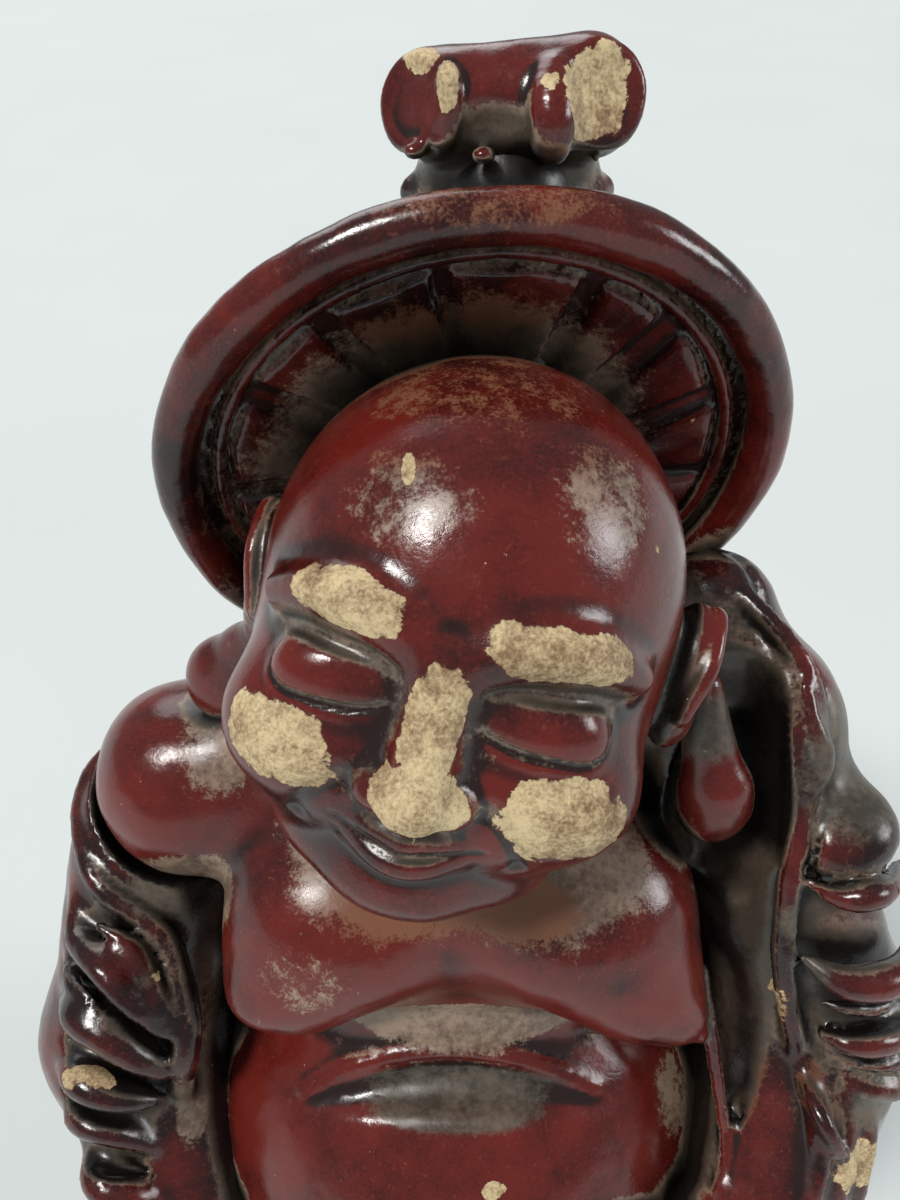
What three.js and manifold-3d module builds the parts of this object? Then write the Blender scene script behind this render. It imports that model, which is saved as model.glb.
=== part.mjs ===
// A laughing buddha figurine of cast resin, about 80 mm tall, in one piece with its low oval plinth.
// He stands with both hands on his bare belly. His robe has slipped from his right shoulder, a wide
// brimmed travelling hat hangs behind his head, and the knotted mouth of his cloth sack shows above it.
//
// Millimetres, +Z up. He faces -Y, and +X is his own left side. The origin is the middle of the
// plinth's underside.
//
// The soft forms are sculpted in clay: lumps are laid on and hollows are carved, each with a rounded
// join, and the skin of the result becomes triangles. The hat is turned, and the plinth is extruded.

import * as THREE from "three";
import { edgeTable, triTable } from "three/addons/objects/MarchingCubes.js";
import { SimplifyModifier } from "three/addons/modifiers/SimplifyModifier.js";
import { mergeVertices } from "three/addons/utils/BufferGeometryUtils.js";
import Module from "manifold-3d";

const wasm = await Module();
wasm.setup();

const V = (x, y, z) => new THREE.Vector3(x, y, z);
const { lerp, clamp, smoothstep, degToRad } = THREE.MathUtils;
const SIDES = [-1, 1]; // his right side, then his left

// Driving dimensions. A centre is a place on the figure, and radii are half its width, depth and height.
const PLINTH = { halfWidth: 24, halfDepth: 18, height: 5.5, bevel: 0.9 };
const SKIRT = {
  top: 29, hem: 6, waistRadii: V(13.4, 10, 0), hemRadii: V(16.6, 12.4, 0), centreY: -1,
  folds: 13, foldDepth: 0.85,
};
const BELLY = { centre: V(0, -3.6, 33.4), radii: V(13.8, 13.4, 13) };
const CHEST = { centre: V(0, 1.4, 46.5), radii: V(11.6, 8.4, 10.4) };
const BREAST = { centre: V(4.6, -3.4, 50.6), radii: V(5.3, 4.6, 4.2) };
const HEAD = { centre: V(0, 0, 63.6), pitch: -26, roll: 8, yaw: -12, scale: 0.95 };
const HAT = {
  centre: V(0.6, 6, 65.1), radius: 11.9, lean: 10, turn: 6.4,
  beadRadius: 0.85, thickness: 1.5, dish: 2.6, ribs: 18,
};
const SACK = { centre: V(0.4, 10.6, 44), radii: V(12.2, 6, 16), folds: 9 };
const KNOT = { centre: V(1.5, 8.2, 77.2), halfWidth: 2.5, lobeRadii: V(1.35, 1.9, 1.9) };
const ARM_RIGHT = {
  shoulder: V(-14, 1.6, 49), elbow: V(-15.8, -5, 40.4), wrist: V(-11.8, -12.6, 34), cuffDrop: 6.5,
};
const ARM_LEFT = {
  shoulder: V(13.4, 1.4, 51.4), elbow: V(16.6, -5, 43.2), wrist: V(13.2, -12.8, 37.6), cuffDrop: 7.5,
};
const HAND_RIGHT = { root: { x: 8, z: 32.4 }, reach: 5, fall: 0.6 };
const HAND_LEFT = { root: { x: 8.4, z: 36 }, reach: 5, fall: 1.6 };

// The spacing of the samples of each clay, and the triangles left on it once its flat stretches are thinned.
const BODY_CLAY = { step: 0.5, triangles: 5400, low: V(-24, -20, 2), high: V(24, 20, 82) };
const HEAD_CLAY = { step: 0.42, triangles: 1900, low: V(-14, -13, 50), high: V(14, 11, 76) };

// The clay in hand: lumps and hollows in the order in which they are made.
const clay = [];

function lay(shape, blend) {
  clay.push({ ...shape, blend, hollow: false });
}

function carve(shape, blend) {
  clay.push({ ...shape, blend, hollow: true });
}

// The smaller of two distances, with the corner between them rounded over a width of blend.
function softMin(a, b, blend) {
  const h = Math.max(blend - Math.abs(a - b), 0) / blend;
  return Math.min(a, b) - (h * h * blend) / 4;
}

// How far a point is outside the clay, or how deep in it if that is negative.
function clayDistance(x, y, z) {
  let d = 1e3;
  for (const lump of clay) {
    const { centre, reach, blend, hollow } = lump;
    const nearest = Math.hypot(x - centre.x, y - centre.y, z - centre.z) - reach;
    if (nearest > (hollow ? -d : d) + blend) continue;
    const s = lump.distance(x, y, z);
    d = hollow ? -softMin(-d, s, blend) : softMin(d, s, blend);
  }
  return d;
}

// A shape is a centre, the reach of a ball around it that holds the shape, and a distance function.

function ellipsoid(centre, radii) {
  return {
    centre,
    reach: Math.max(radii.x, radii.y, radii.z),
    distance(x, y, z) {
      const px = (x - centre.x) / radii.x;
      const py = (y - centre.y) / radii.y;
      const pz = (z - centre.z) / radii.z;
      const k = Math.hypot(px, py, pz);
      return (k * (k - 1)) / Math.max(Math.hypot(px / radii.x, py / radii.y, pz / radii.z), 1e-6);
    },
  };
}

// A round tube along a curve. radiusAt gives its radius from 0 at the curve's start to 1 at its end.
function tube(curve, radiusAt, segments = 8) {
  const points = curve.getPoints(segments);
  const radii = points.map((_, i) => radiusAt(i / segments));
  const ball = new THREE.Sphere().setFromPoints(points);
  return {
    centre: ball.center,
    reach: ball.radius + Math.max(...radii),
    distance(x, y, z) {
      let nearest = 1e3;
      for (let i = 0; i < segments; i++) {
        const a = points[i];
        const b = points[i + 1];
        const ux = b.x - a.x;
        const uy = b.y - a.y;
        const uz = b.z - a.z;
        const along = ((x - a.x) * ux + (y - a.y) * uy + (z - a.z) * uz) / (ux * ux + uy * uy + uz * uz);
        const t = clamp(along, 0, 1);
        const gap = Math.hypot(x - a.x - t * ux, y - a.y - t * uy, z - a.z - t * uz);
        nearest = Math.min(nearest, gap - lerp(radii[i], radii[i + 1], t));
      }
      return nearest;
    },
  };
}

const straight = (a, b) => new THREE.LineCurve3(a, b);
const bent = (a, via, b) => new THREE.QuadraticBezierCurve3(a, via, b);
const winding = (points) => new THREE.CatmullRomCurve3(points, false, "catmullrom", 0.5);
const even = (radius) => () => radius;
const tapered = (start, end) => (t) => lerp(start, end, t);
const swelling = (ends, middle) => (t) => lerp(ends, middle, Math.sin(Math.PI * t));

// The same shape carried in a turned and moved frame, such as the head's.
function inFrame(frame, shape) {
  const inverse = frame.clone().invert();
  const scale = frame.getMaxScaleOnAxis();
  const p = new THREE.Vector3();
  return {
    centre: shape.centre.clone().applyMatrix4(frame),
    reach: shape.reach * scale,
    distance(x, y, z) {
      p.set(x, y, z).applyMatrix4(inverse);
      return shape.distance(p.x, p.y, p.z) * scale;
    },
  };
}

function turnedFrame({ centre, pitch, roll, yaw, scale }) {
  const turn = new THREE.Euler(degToRad(pitch), degToRad(roll), degToRad(yaw), "ZYX");
  return new THREE.Matrix4().makeRotationFromEuler(turn).scale(V(scale, scale, scale)).setPosition(centre);
}

// The long skirt of the robe: an oval drum that widens to its hem, with folds that deepen on the way down.
function skirt() {
  const { top, hem, waistRadii, hemRadii, centreY, folds, foldDepth } = SKIRT;
  const middle = (top + hem) / 2;
  return {
    centre: V(0, centreY, middle),
    reach: Math.hypot(hemRadii.x, (top - hem) / 2) + foldDepth,
    distance(x, y, z) {
      const drop = clamp((top - z) / (top - hem), 0, 1);
      const flare = smoothstep(drop, 0, 1);
      const a = lerp(waistRadii.x, hemRadii.x, flare);
      const b = lerp(waistRadii.y, hemRadii.y, flare);
      const turn = Math.atan2(x / a, (centreY - y) / b);
      const wave = Math.cos(folds * turn + 0.9 * Math.sin(2 * turn + 1) + 0.6 * drop);
      const fold = foldDepth * drop * wave * Math.abs(wave) ** 0.3;
      const side = (Math.hypot(x / a, (y - centreY) / b) - 1) * b - fold;
      return -softMin(-side, (top - hem) / 2 - Math.abs(z - middle), 1.2);
    },
  };
}

function layLowerBody() {
  lay(skirt(), 0.1);
  for (const side of SIDES) {
    const heel = V(side * 5, -8, 6.6);
    const toe = V(side * 6.6, -13.6, 6.5);
    lay(tube(straight(heel, toe), tapered(2.4, 2.6)), 0.5);
  }
  // The overlapping front edge of the skirt, from the belt to the hem.
  lay(tube(bent(V(0.5, -12.6, 20), V(-2, -12.4, 13), V(-0.6, -13.2, 6.4)), swelling(0.6, 0.9)), 0.9);
}

function layTorso() {
  lay(tube(straight(V(0, 2, 50), V(0, 1.6, 59)), even(5.6)), 1);
  lay(ellipsoid(CHEST.centre, CHEST.radii), 3);
  for (const side of SIDES) {
    const { centre, radii } = BREAST;
    lay(ellipsoid(V(side * centre.x, centre.y, centre.z), radii), 1.4);
    lay(ellipsoid(V(side * 6.6, -5, 49.4), V(3.2, 3.4, 2.6)), 1.2);
  }
  lay(ellipsoid(V(0, 0.2, 45.4), V(10.6, 8, 4)), 0.4); // the roll of flesh under the breasts
  lay(ellipsoid(BELLY.centre, BELLY.radii), 0.9);
  for (const side of SIDES) lay(ellipsoid(V(side * 9, -7.8, 48.4), V(0.9, 0.9, 0.8)), 0.6);
  // A crescent hollow on top of the belly, under a sharp lip.
  carve(tube(bent(V(-6, -9.3, 44.2), V(0.4, -10.6, 47.4), V(5.8, -9.5, 44)), swelling(0.5, 1.4)), 0.7);
  lay(tube(bent(V(-5.6, -8.3, 44.9), V(0.4, -8.7, 48.3), V(5.4, -8.5, 44.7)), swelling(0.3, 0.5)), 0.5);
  carve(ellipsoid(V(0, bellyFront(0, 31.6), 31.6), V(1.1, 1.2, 0.9)), 0.8);
}

// Where the belly's front is, at a given place across and up.
function bellyFront(x, z) {
  const { centre, radii } = BELLY;
  const left = 1 - (x / radii.x) ** 2 - ((z - centre.z) / radii.z) ** 2;
  return centre.y - radii.y * Math.sqrt(Math.max(left, 0));
}

// The body of the robe: it wraps the back and the sides and leaves the belly bare.
function layRobe() {
  lay(ellipsoid(V(0, 2.6, 38), V(15.2, 8.4, 15)), 1.5);
  lay(ellipsoid(V(5, 4.6, 54), V(9, 4.4, 7.4)), 1.2); // over the nape and the left shoulder
  lay(ellipsoid(V(10.6, 5.4, 57), V(3.4, 3, 4.8)), 1);
  for (const side of SIDES) lay(ellipsoid(V(side * 12, -3, 33), V(2.9, 6.4, 12)), 1);
  // The bare right shoulder, and the robed left one, which stands higher.
  lay(ellipsoid(V(-12, 1.4, 52.6), V(4, 4.2, 4.3)), 1.4);
  lay(tube(straight(V(-11, 1.4, 52), V(-6, 0, 52)), even(3.6)), 1.4);
  lay(ellipsoid(V(11.9, 2.2, 53.4), V(4.9, 4.8, 6.6)), 1.2);
  // The belt under the belly, with its knot and two hanging ends.
  const belt = [];
  const beltPoints = 24;
  for (let i = 0; i <= beltPoints; i++) {
    const turn = (2 * Math.PI * i) / beltPoints;
    const front = (1 - Math.cos(turn)) / 2;
    belt.push(V(13.6 * Math.sin(turn), -1.2 + 10.8 * Math.cos(turn), lerp(26, 20.4, front)));
  }
  lay(tube(winding(belt), even(1.1), 2 * beltPoints), 0.6);
  lay(ellipsoid(V(0, -12.6, 20), V(1.9, 1.6, 1.5)), 0.4);
  for (const side of SIDES) {
    const end = bent(V(0, -12.8, 19.6), V(side * 1.2, -13.2, 16), V(side * 2.2, -12.6, 12));
    lay(tube(end, tapered(0.8, 1)), 0.4);
  }
}

// One sleeve: the upper arm, the bent forearm, and the wide cuff that hangs from it, with a rolled rim.
function laySleeve({ shoulder, elbow, wrist, cuffDrop }) {
  lay(tube(straight(shoulder, elbow), even(4.1)), 1.4);
  lay(tube(straight(elbow, wrist), tapered(4.3, 3.3)), 1.2);
  const side = Math.sign(elbow.x);
  const middle = elbow.clone().lerp(wrist, 0.45);
  lay(ellipsoid(middle.clone().add(V(side * -0.4, 1, -cuffDrop / 2)), V(3, 5.6, cuffDrop / 2 + 2.4)), 1.6);
  const rim = [];
  const rimPoints = 12;
  for (let i = 0; i <= rimPoints; i++) {
    const turn = (2 * Math.PI * i) / rimPoints;
    const hang = Math.max(-Math.cos(turn), 0) * cuffDrop * 0.6;
    rim.push(wrist.clone().add(V(2.9 * Math.sin(turn), 0.8 + 0.5 * hang, 2.9 * Math.cos(turn) - hang)));
  }
  lay(tube(winding(rim), even(0.75), 2 * rimPoints), 0.8);
}

// A hand that lies flat on the belly, with its fingers together and its thumb raised.
function layHand({ root, reach, fall }, side) {
  const onBelly = (x, z, lift) => V(side * x, bellyFront(x, z) - lift, z);
  lay(ellipsoid(onBelly(root.x + 0.6, root.z, 0.1), V(2.4, 1.9, 2.6)), 0.8);
  const fingers = 4;
  for (let i = 0; i < fingers; i++) {
    const across = root.z + (1.5 - i) * 1.4;
    const length = reach * (1 - 0.09 * Math.abs(i - 1.2));
    const start = onBelly(root.x, across, 0.6);
    const knuckle = onBelly(root.x - 0.5 * length, across - 0.5 * fall, 1.3);
    const tip = onBelly(root.x - length, across - fall, 0.3);
    lay(tube(bent(start, knuckle, tip), tapered(0.9, 0.75)), 0.25);
  }
  const thumb = bent(
    onBelly(root.x + 0.6, root.z + 1.6, 0.8),
    onBelly(root.x, root.z + 4, 1),
    onBelly(root.x - 2.4, root.z + 4.4, 0.4),
  );
  lay(tube(thumb, tapered(1, 0.8)), 0.4);
}

function layArms() {
  laySleeve(ARM_RIGHT);
  laySleeve(ARM_LEFT);
  // Folds of the right sleeve, which all run down into the crook of the elbow.
  const crook = V(-11.8, -8, 44.6);
  const rightFolds = 5;
  for (let i = 0; i < rightFolds; i++) {
    const t = i / (rightFolds - 1);
    const start = V(lerp(-18, -19.2, Math.sqrt(t)), lerp(-1.4, -9.2, t), lerp(48.6, 38.2, t));
    const via = V(-16.2, lerp(-4.6, -11, t), lerp(49.8, 41.8, t));
    const end = V(crook.x - 0.5 * i, crook.y - 0.5 * i, crook.z - 1.1 * i);
    lay(tube(bent(start, via, end), swelling(0.5, 0.95)), 0.4);
  }
  // Folds of the left sleeve, which lie across the arm above the elbow. The top one overhangs.
  const leftFolds = 4;
  for (let i = 0; i < leftFolds; i++) {
    const inner = V(12.4 + 0.6 * i, -4.2 - 1.2 * i, 53.6 - 2.4 * i);
    const front = V(16.8 + 0.3 * i, -6.8 - 1.1 * i, 52.4 - 2.3 * i);
    const outer = V(19 + 0.4 * i, -1.8 - 0.8 * i, 50.6 - 2.2 * i);
    lay(tube(bent(inner, front, outer), swelling(0.6, i === 0 ? 1.2 : 0.85)), 0.5);
  }
  layHand(HAND_RIGHT, -1);
  layHand(HAND_LEFT, 1);
}

// The edges of the robe, and the dark gaps that they stand over.
function layLapels() {
  // The slipped edge that hangs round the bare right shoulder and runs down beside the belly.
  carve(tube(bent(V(-16.4, 3.4, 54), V(-17, -2.4, 50.4), V(-11.8, -5, 46)), swelling(0.5, 0.8)), 0.5);
  carve(tube(straight(V(-10.8, -4, 48.4), V(-11, -8.4, 43)), tapered(1.5, 0.8)), 0.8);
  const rightEdge = [
    V(-14.8, 5, 54), V(-17, 3.2, 52), V(-17.6, 0.4, 50.2), V(-16.4, -2.6, 49), V(-13.8, -4.8, 47.6),
    V(-12.4, -7, 45), V(-12.4, -8.2, 41), V(-13, -8.2, 37), V(-13.2, -8.2, 32), V(-11.2, -8.6, 26),
    V(-6, -11, 21.4),
  ];
  lay(tube(winding(rightEdge), swelling(0.7, 0.85), 36), 0.6);
  // The open pit between the chest and the robe that covers the left shoulder, under a rolled collar.
  const pit = [V(10.6, 0.6, 59.6), V(11.2, -1.6, 55), V(11.3, -4.6, 50), V(11, -8, 45.6)];
  carve(tube(winding(pit), swelling(1, 1.8), 12), 0.8);
  const collar = [
    V(9.8, 6, 61), V(11.4, 4, 61), V(13, 2, 60.2), V(13.8, 0.4, 58.6), V(13.7, -1.2, 56.6),
    V(13.4, -3, 54.2), V(13.2, -5.2, 50.8), V(13.8, -7, 47.6), V(15, -8.6, 44),
  ];
  lay(tube(winding(collar), swelling(0.75, 0.95), 28), 0.6);
  const leftEdge = [
    V(11, -5, 49), V(11.2, -7.4, 45), V(11.8, -8.8, 41), V(12.8, -8.6, 37), V(13.2, -8.2, 32),
    V(11.2, -8.6, 26), V(6, -11, 21.4),
  ];
  lay(tube(winding(leftEdge), even(0.75), 24), 0.6);
}

// The sack on his back: a full bag, drawn in to a neck that ends in a knot with two ears.
function laySack() {
  lay(ellipsoid(SACK.centre, SACK.radii), 1.2);
  const mouth = V(KNOT.centre.x, KNOT.centre.y + 0.4, KNOT.centre.z - 2.2);
  const bagTop = V(0.6, 11.4, 57);
  lay(tube(bent(bagTop, V(1, 12, 67), mouth), tapered(6.4, 2.4)), 2);
  for (let i = 0; i < SACK.folds; i++) {
    const turn = degToRad(lerp(-80, 80, i / (SACK.folds - 1)));
    const out = V(Math.sin(turn), Math.cos(turn), 0);
    const start = mouth.clone().addScaledVector(out, 2);
    const via = V(0.8, 11.6, 64).addScaledVector(out, 5.2);
    const end = V(0.4, 10.4, 50 + 3 * Math.cos(3 * turn)).add(V(12 * out.x, 5.7 * out.y, 0));
    lay(tube(bent(start, via, end), swelling(0.35, 0.9)), 0.8);
  }
  // The neck is flat and wide just under the knot.
  lay(ellipsoid(mouth, V(3.1, 2.2, 3)), 0.8);
}

function layKnot() {
  const { centre, halfWidth, lobeRadii } = KNOT;
  const left = V(centre.x - halfWidth, centre.y, centre.z + 0.1);
  const right = V(centre.x + halfWidth, centre.y - 0.2, centre.z + 0.5);
  lay(tube(bent(left, V(centre.x, centre.y + 0.2, centre.z - 0.1), right), even(1.5)), 0.5);
  for (const end of [left, right]) lay(ellipsoid(end, lobeRadii), 0.2);
  carve(ellipsoid(V(centre.x - 0.2, centre.y - 2.3, centre.z - 1.7), V(2, 0.9, 0.9)), 0.4);
  const groove = bent(
    V(right.x - 1.5, right.y + 1, right.z + 1.9),
    V(right.x - 1.3, right.y - 2.4, right.z + 0.4),
    V(right.x - 0.6, right.y - 1.6, right.z - 1.6),
  );
  carve(tube(groove, even(0.4)), 0.3);
}

// The head, in its own frame: face towards -Y, crown up.
function layHead() {
  const frame = turnedFrame(HEAD);
  const onHead = (shape, blend) => lay(inFrame(frame, shape), blend);
  const offHead = (shape, blend) => carve(inFrame(frame, shape), blend);

  onHead(ellipsoid(V(0, 0.6, 1.4), V(7.5, 7.7, 7.9)), 0.4); // the skull
  onHead(ellipsoid(V(0, -0.7, -3.2), V(7.1, 6.6, 5.8)), 2); // the jaw
  onHead(ellipsoid(V(0, -2.4, -7), V(5, 4, 2)), 1.2); // the fold under the chin
  for (const side of SIDES) onHead(ellipsoid(V(side * 3.9, -4.4, -2.8), V(3, 2.6, 2.6)), 1.2);
  onHead(ellipsoid(V(0, -5.5, -6.8), V(2.2, 1.7, 1.4)), 1);

  for (const side of SIDES) {
    const s = (x, y, z) => V(side * x, y, z);
    offHead(ellipsoid(s(3, -7.6, 0.2), V(1.9, 1.1, 0.9)), 0.8);
    onHead(tube(bent(s(1, -6.7, 1.6), s(3.2, -7.2, 3.4), s(5.6, -4.9, 1.7)), swelling(0.4, 0.75)), 1);
    onHead(ellipsoid(s(3, -6, 0), V(1.7, 1, 0.9)), 0.3);
  }
  onHead(tube(bent(V(0, -6.6, 1.6), V(0, -7.2, -0.4), V(0, -8.1, -2.5)), tapered(0.75, 1.1)), 0.8);
  for (const side of SIDES) onHead(ellipsoid(V(side * 1.2, -7.4, -2.8), V(0.85, 0.95, 0.7)), 0.4);

  onHead(tube(bent(V(-2.2, -6.6, -4.2), V(0, -8, -4.7), V(2.2, -6.6, -4.2)), swelling(0.35, 0.6)), 0.4);
  onHead(tube(bent(V(-1.8, -6.6, -5), V(0, -7.7, -5.9), V(1.8, -6.6, -5)), swelling(0.4, 0.7)), 0.4);
  offHead(tube(bent(V(-2.4, -7.1, -4.4), V(0, -8.3, -5.4), V(2.4, -7.1, -4.4)), even(0.25)), 0.3);
}

// Each ear is a curled shell on the side of the head, with a long lobe that hangs straight down.
function layEars() {
  const frame = turnedFrame(HEAD);
  const lobes = [V(-9.4, 2, 57.8), V(10.2, -1.8, 54)];
  for (const [i, side] of SIDES.entries()) {
    const s = (x, y, z) => V(side * x, y, z);
    lay(inFrame(frame, ellipsoid(s(7.9, 1, -0.2), V(1.2, 1.9, 2.9))), 0.5);
    carve(inFrame(frame, ellipsoid(s(9, 0.4, -0.1), V(0.7, 1, 1.8))), 0.4);
    const start = s(8.1, 0.6, -2.4).applyMatrix4(frame);
    const lobe = lobes[i];
    const via = V(lobe.x + side * 0.2, (start.y + lobe.y) / 2, (start.z + lobe.z) / 2);
    lay(tube(bent(start, via, lobe), tapered(0.8, 1.4)), 0.5);
  }
}

// The clay's skin as triangles, by marching cubes: each edge of the grid that crosses it makes one vertex.
// The corners and edges of a cube are numbered as in three.js's tables.
const CUBE_CORNERS = [[0, 0, 0], [1, 0, 0], [1, 1, 0], [0, 1, 0], [0, 0, 1], [1, 0, 1], [1, 1, 1], [0, 1, 1]];
const CUBE_EDGES = [ // axis, then the corner where the edge starts
  [0, 0, 0, 0], [1, 1, 0, 0], [0, 0, 1, 0], [1, 0, 0, 0],
  [0, 0, 0, 1], [1, 1, 0, 1], [0, 0, 1, 1], [1, 0, 0, 1],
  [2, 0, 0, 0], [2, 1, 0, 0], [2, 1, 1, 0], [2, 0, 1, 0],
];
const TABLE_ROW = 16;

function polygonise(distance, low, high, step) {
  const counts = high.clone().sub(low).divideScalar(step).ceil();
  const [nx, ny, nz] = [counts.x + 1, counts.y + 1, counts.z + 1];
  const node = (i, j, k) => i + nx * (j + ny * k);
  const samples = new Float32Array(nx * ny * nz);
  for (let k = 0; k < nz; k++)
    for (let j = 0; j < ny; j++)
      for (let i = 0; i < nx; i++)
        samples[node(i, j, k)] = distance(low.x + i * step, low.y + j * step, low.z + k * step) || 1e-6;

  const strides = [1, nx, nx * ny];
  const positions = [];
  const vertexOfEdge = new Map();
  const closest = 0.1; // a vertex keeps this share of an edge away from its ends, so no triangle is a sliver
  function vertexOn(edge, i, j, k) {
    const [axis, di, dj, dk] = CUBE_EDGES[edge];
    const start = node(i + di, j + dj, k + dk);
    const key = 3 * start + axis;
    if (!vertexOfEdge.has(key)) {
      const a = samples[start];
      const b = samples[start + strides[axis]];
      const point = [i + di, j + dj, k + dk];
      point[axis] += clamp(a / (a - b), closest, 1 - closest);
      vertexOfEdge.set(key, positions.length / 3);
      positions.push(low.x + point[0] * step, low.y + point[1] * step, low.z + point[2] * step);
    }
    return vertexOfEdge.get(key);
  }

  const triangles = [];
  for (let k = 0; k < nz - 1; k++)
    for (let j = 0; j < ny - 1; j++)
      for (let i = 0; i < nx - 1; i++) {
        let kind = 0;
        CUBE_CORNERS.forEach(([di, dj, dk], bit) => {
          if (samples[node(i + di, j + dj, k + dk)] > 0) kind |= 1 << bit;
        });
        if (!edgeTable[kind]) continue;
        for (let n = kind * TABLE_ROW; triTable[n] !== -1; n++) {
          triangles.push(vertexOn(triTable[n], i, j, k));
        }
      }
  const geometry = new THREE.BufferGeometry();
  geometry.setAttribute("position", new THREE.Float32BufferAttribute(positions, 3));
  geometry.setIndex(new THREE.BufferAttribute(new Uint32Array(triangles), 1));
  return geometry;
}

// The geometry with its flat stretches thinned out, until about that many triangles are left.
async function thinned(geometry, triangles) {
  const vertices = geometry.getAttribute("position").count;
  const share = triangles / (geometry.index.count / 3);
  return new SimplifyModifier().modify(geometry, Math.round(vertices * (1 - share)));
}

function solidOf(geometry) {
  const bare = new THREE.BufferGeometry();
  bare.setAttribute("position", geometry.getAttribute("position").clone());
  bare.setIndex(geometry.index);
  const merged = mergeVertices(bare, 1e-4);
  const triVerts = new Uint32Array(merged.index.array);
  return new wasm.Manifold(
    new wasm.Mesh({ numProp: 3, vertProperties: merged.attributes.position.array, triVerts }),
  );
}

function geometryOf(solid) {
  const mesh = solid.getMesh();
  const geometry = new THREE.BufferGeometry();
  geometry.setAttribute("position", new THREE.BufferAttribute(mesh.vertProperties, 3));
  geometry.setIndex(new THREE.BufferAttribute(mesh.triVerts, 1));
  return geometry;
}

async function claySolid({ step, triangles, low, high }, forms) {
  clay.length = 0;
  for (const form of forms) form();
  return solidOf(await thinned(polygonise(clayDistance, low, high, step), triangles));
}

// The hat is turned about its own axis, which points forward out of its hollow: a dished brim with a
// rolled edge, a groove inside that, and a low cone for its crown at the back.
function hatSolid() {
  const { centre, radius, lean, turn, beadRadius, thickness, dish, ribs } = HAT;
  const beadAt = radius - beadRadius;
  const profile = new THREE.Shape(); // from the middle of its back, over the rim, to the middle of its hollow
  profile.moveTo(0, -dish - thickness - 1.2);
  profile.lineTo(radius * 0.45, -dish - thickness);
  profile.absarc(beadAt, 0, beadRadius, degToRad(-70), degToRad(200), false);
  profile.lineTo(beadAt - 1, -0.7);
  profile.lineTo(beadAt - 1.3, -0.1);
  profile.lineTo(beadAt - 1.7, -0.1);
  profile.lineTo(beadAt - 2.2, -0.5);
  profile.lineTo(0, -dish);
  const points = profile.getPoints(4).map((p) => new THREE.Vector2(Math.max(p.x, 0), p.y));
  const turned = new THREE.LatheGeometry(points, 44);
  let hat = solidOf(turned);

  // The slats under the brim run out from the crown to the groove.
  const length = beadAt - 2;
  for (let i = 0; i < ribs; i++) {
    const slat = new THREE.BoxGeometry(0.8, 0.9, length);
    slat.translate(0, 0, length / 2);
    slat.rotateX(-Math.atan2(dish - 0.5, length));
    slat.translate(0, -dish, 0);
    slat.rotateY((2 * Math.PI * i) / ribs);
    hat = hat.add(solidOf(slat));
  }
  const turnOver = new THREE.Euler(Math.PI + degToRad(lean), 0, degToRad(turn), "ZYX");
  return hat.transform(new THREE.Matrix4().makeRotationFromEuler(turnOver).setPosition(centre).elements);
}

// The plinth: an oval slab with eased edges and a step round its foot.
function plinthSolid() {
  const { halfWidth, halfDepth, height, bevel } = PLINTH;
  const slab = (inset, low, high) => {
    const outline = new THREE.Shape();
    outline.absellipse(0, 0, halfWidth - inset - bevel, halfDepth - inset - bevel, 0, 2 * Math.PI);
    const geometry = new THREE.ExtrudeGeometry(outline, {
      depth: high - low - 2 * bevel,
      bevelThickness: bevel,
      bevelSize: bevel,
      bevelSegments: 2,
      curveSegments: 20,
    });
    geometry.translate(0, 0, low + bevel);
    geometry.deleteAttribute("normal");
    geometry.deleteAttribute("uv");
    return solidOf(mergeVertices(geometry, 1e-4));
  };
  return slab(0, 0, height * 0.55).add(slab(1.2, height * 0.3, height));
}

// The cast is solid right through, so gaps that are closed in between its forms are filled: the outermost
// skin is the one that holds the most.
const bodyForms = [layLowerBody, layTorso, layRobe, layArms, layLapels, laySack, layKnot];
const body = await claySolid(BODY_CLAY, bodyForms);
const head = await claySolid(HEAD_CLAY, [layHead, layEars]);
const skins = body.add(head).add(hatSolid()).add(plinthSolid()).decompose();
const figurine = skins.reduce((a, b) => (b.volume() > a.volume() ? b : a));

const resin = new THREE.MeshStandardMaterial({ color: 0x5a1216, roughness: 0.35, metalness: 0 });
const buddha = new THREE.Mesh(geometryOf(figurine), resin);
buddha.name = "laughing_buddha";

const group = new THREE.Group();
group.name = "laughing_buddha_figurine";
group.add(buddha);

export default group;
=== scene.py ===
import math

import bpy
import numpy as np
from mathutils import Matrix, Vector


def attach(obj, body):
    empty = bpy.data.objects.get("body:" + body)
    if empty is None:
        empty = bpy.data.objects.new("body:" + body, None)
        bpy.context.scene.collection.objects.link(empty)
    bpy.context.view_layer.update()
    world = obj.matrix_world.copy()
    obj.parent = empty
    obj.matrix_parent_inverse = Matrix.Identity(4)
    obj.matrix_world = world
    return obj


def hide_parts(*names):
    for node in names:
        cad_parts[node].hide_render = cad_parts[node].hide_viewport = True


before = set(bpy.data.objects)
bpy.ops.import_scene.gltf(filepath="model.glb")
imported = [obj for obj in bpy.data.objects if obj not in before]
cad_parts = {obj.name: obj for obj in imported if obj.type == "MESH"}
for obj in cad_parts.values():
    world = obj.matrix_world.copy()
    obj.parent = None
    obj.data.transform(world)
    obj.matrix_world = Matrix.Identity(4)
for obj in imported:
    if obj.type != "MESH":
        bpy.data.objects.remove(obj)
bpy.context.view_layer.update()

# Everything below is in millimetres until it becomes a mesh, which is in metres.
MM = 0.001
SIDES = (-1, 1)  # his right side, then his left
FAR = 100.0  # the distance that empty clay starts with

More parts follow.
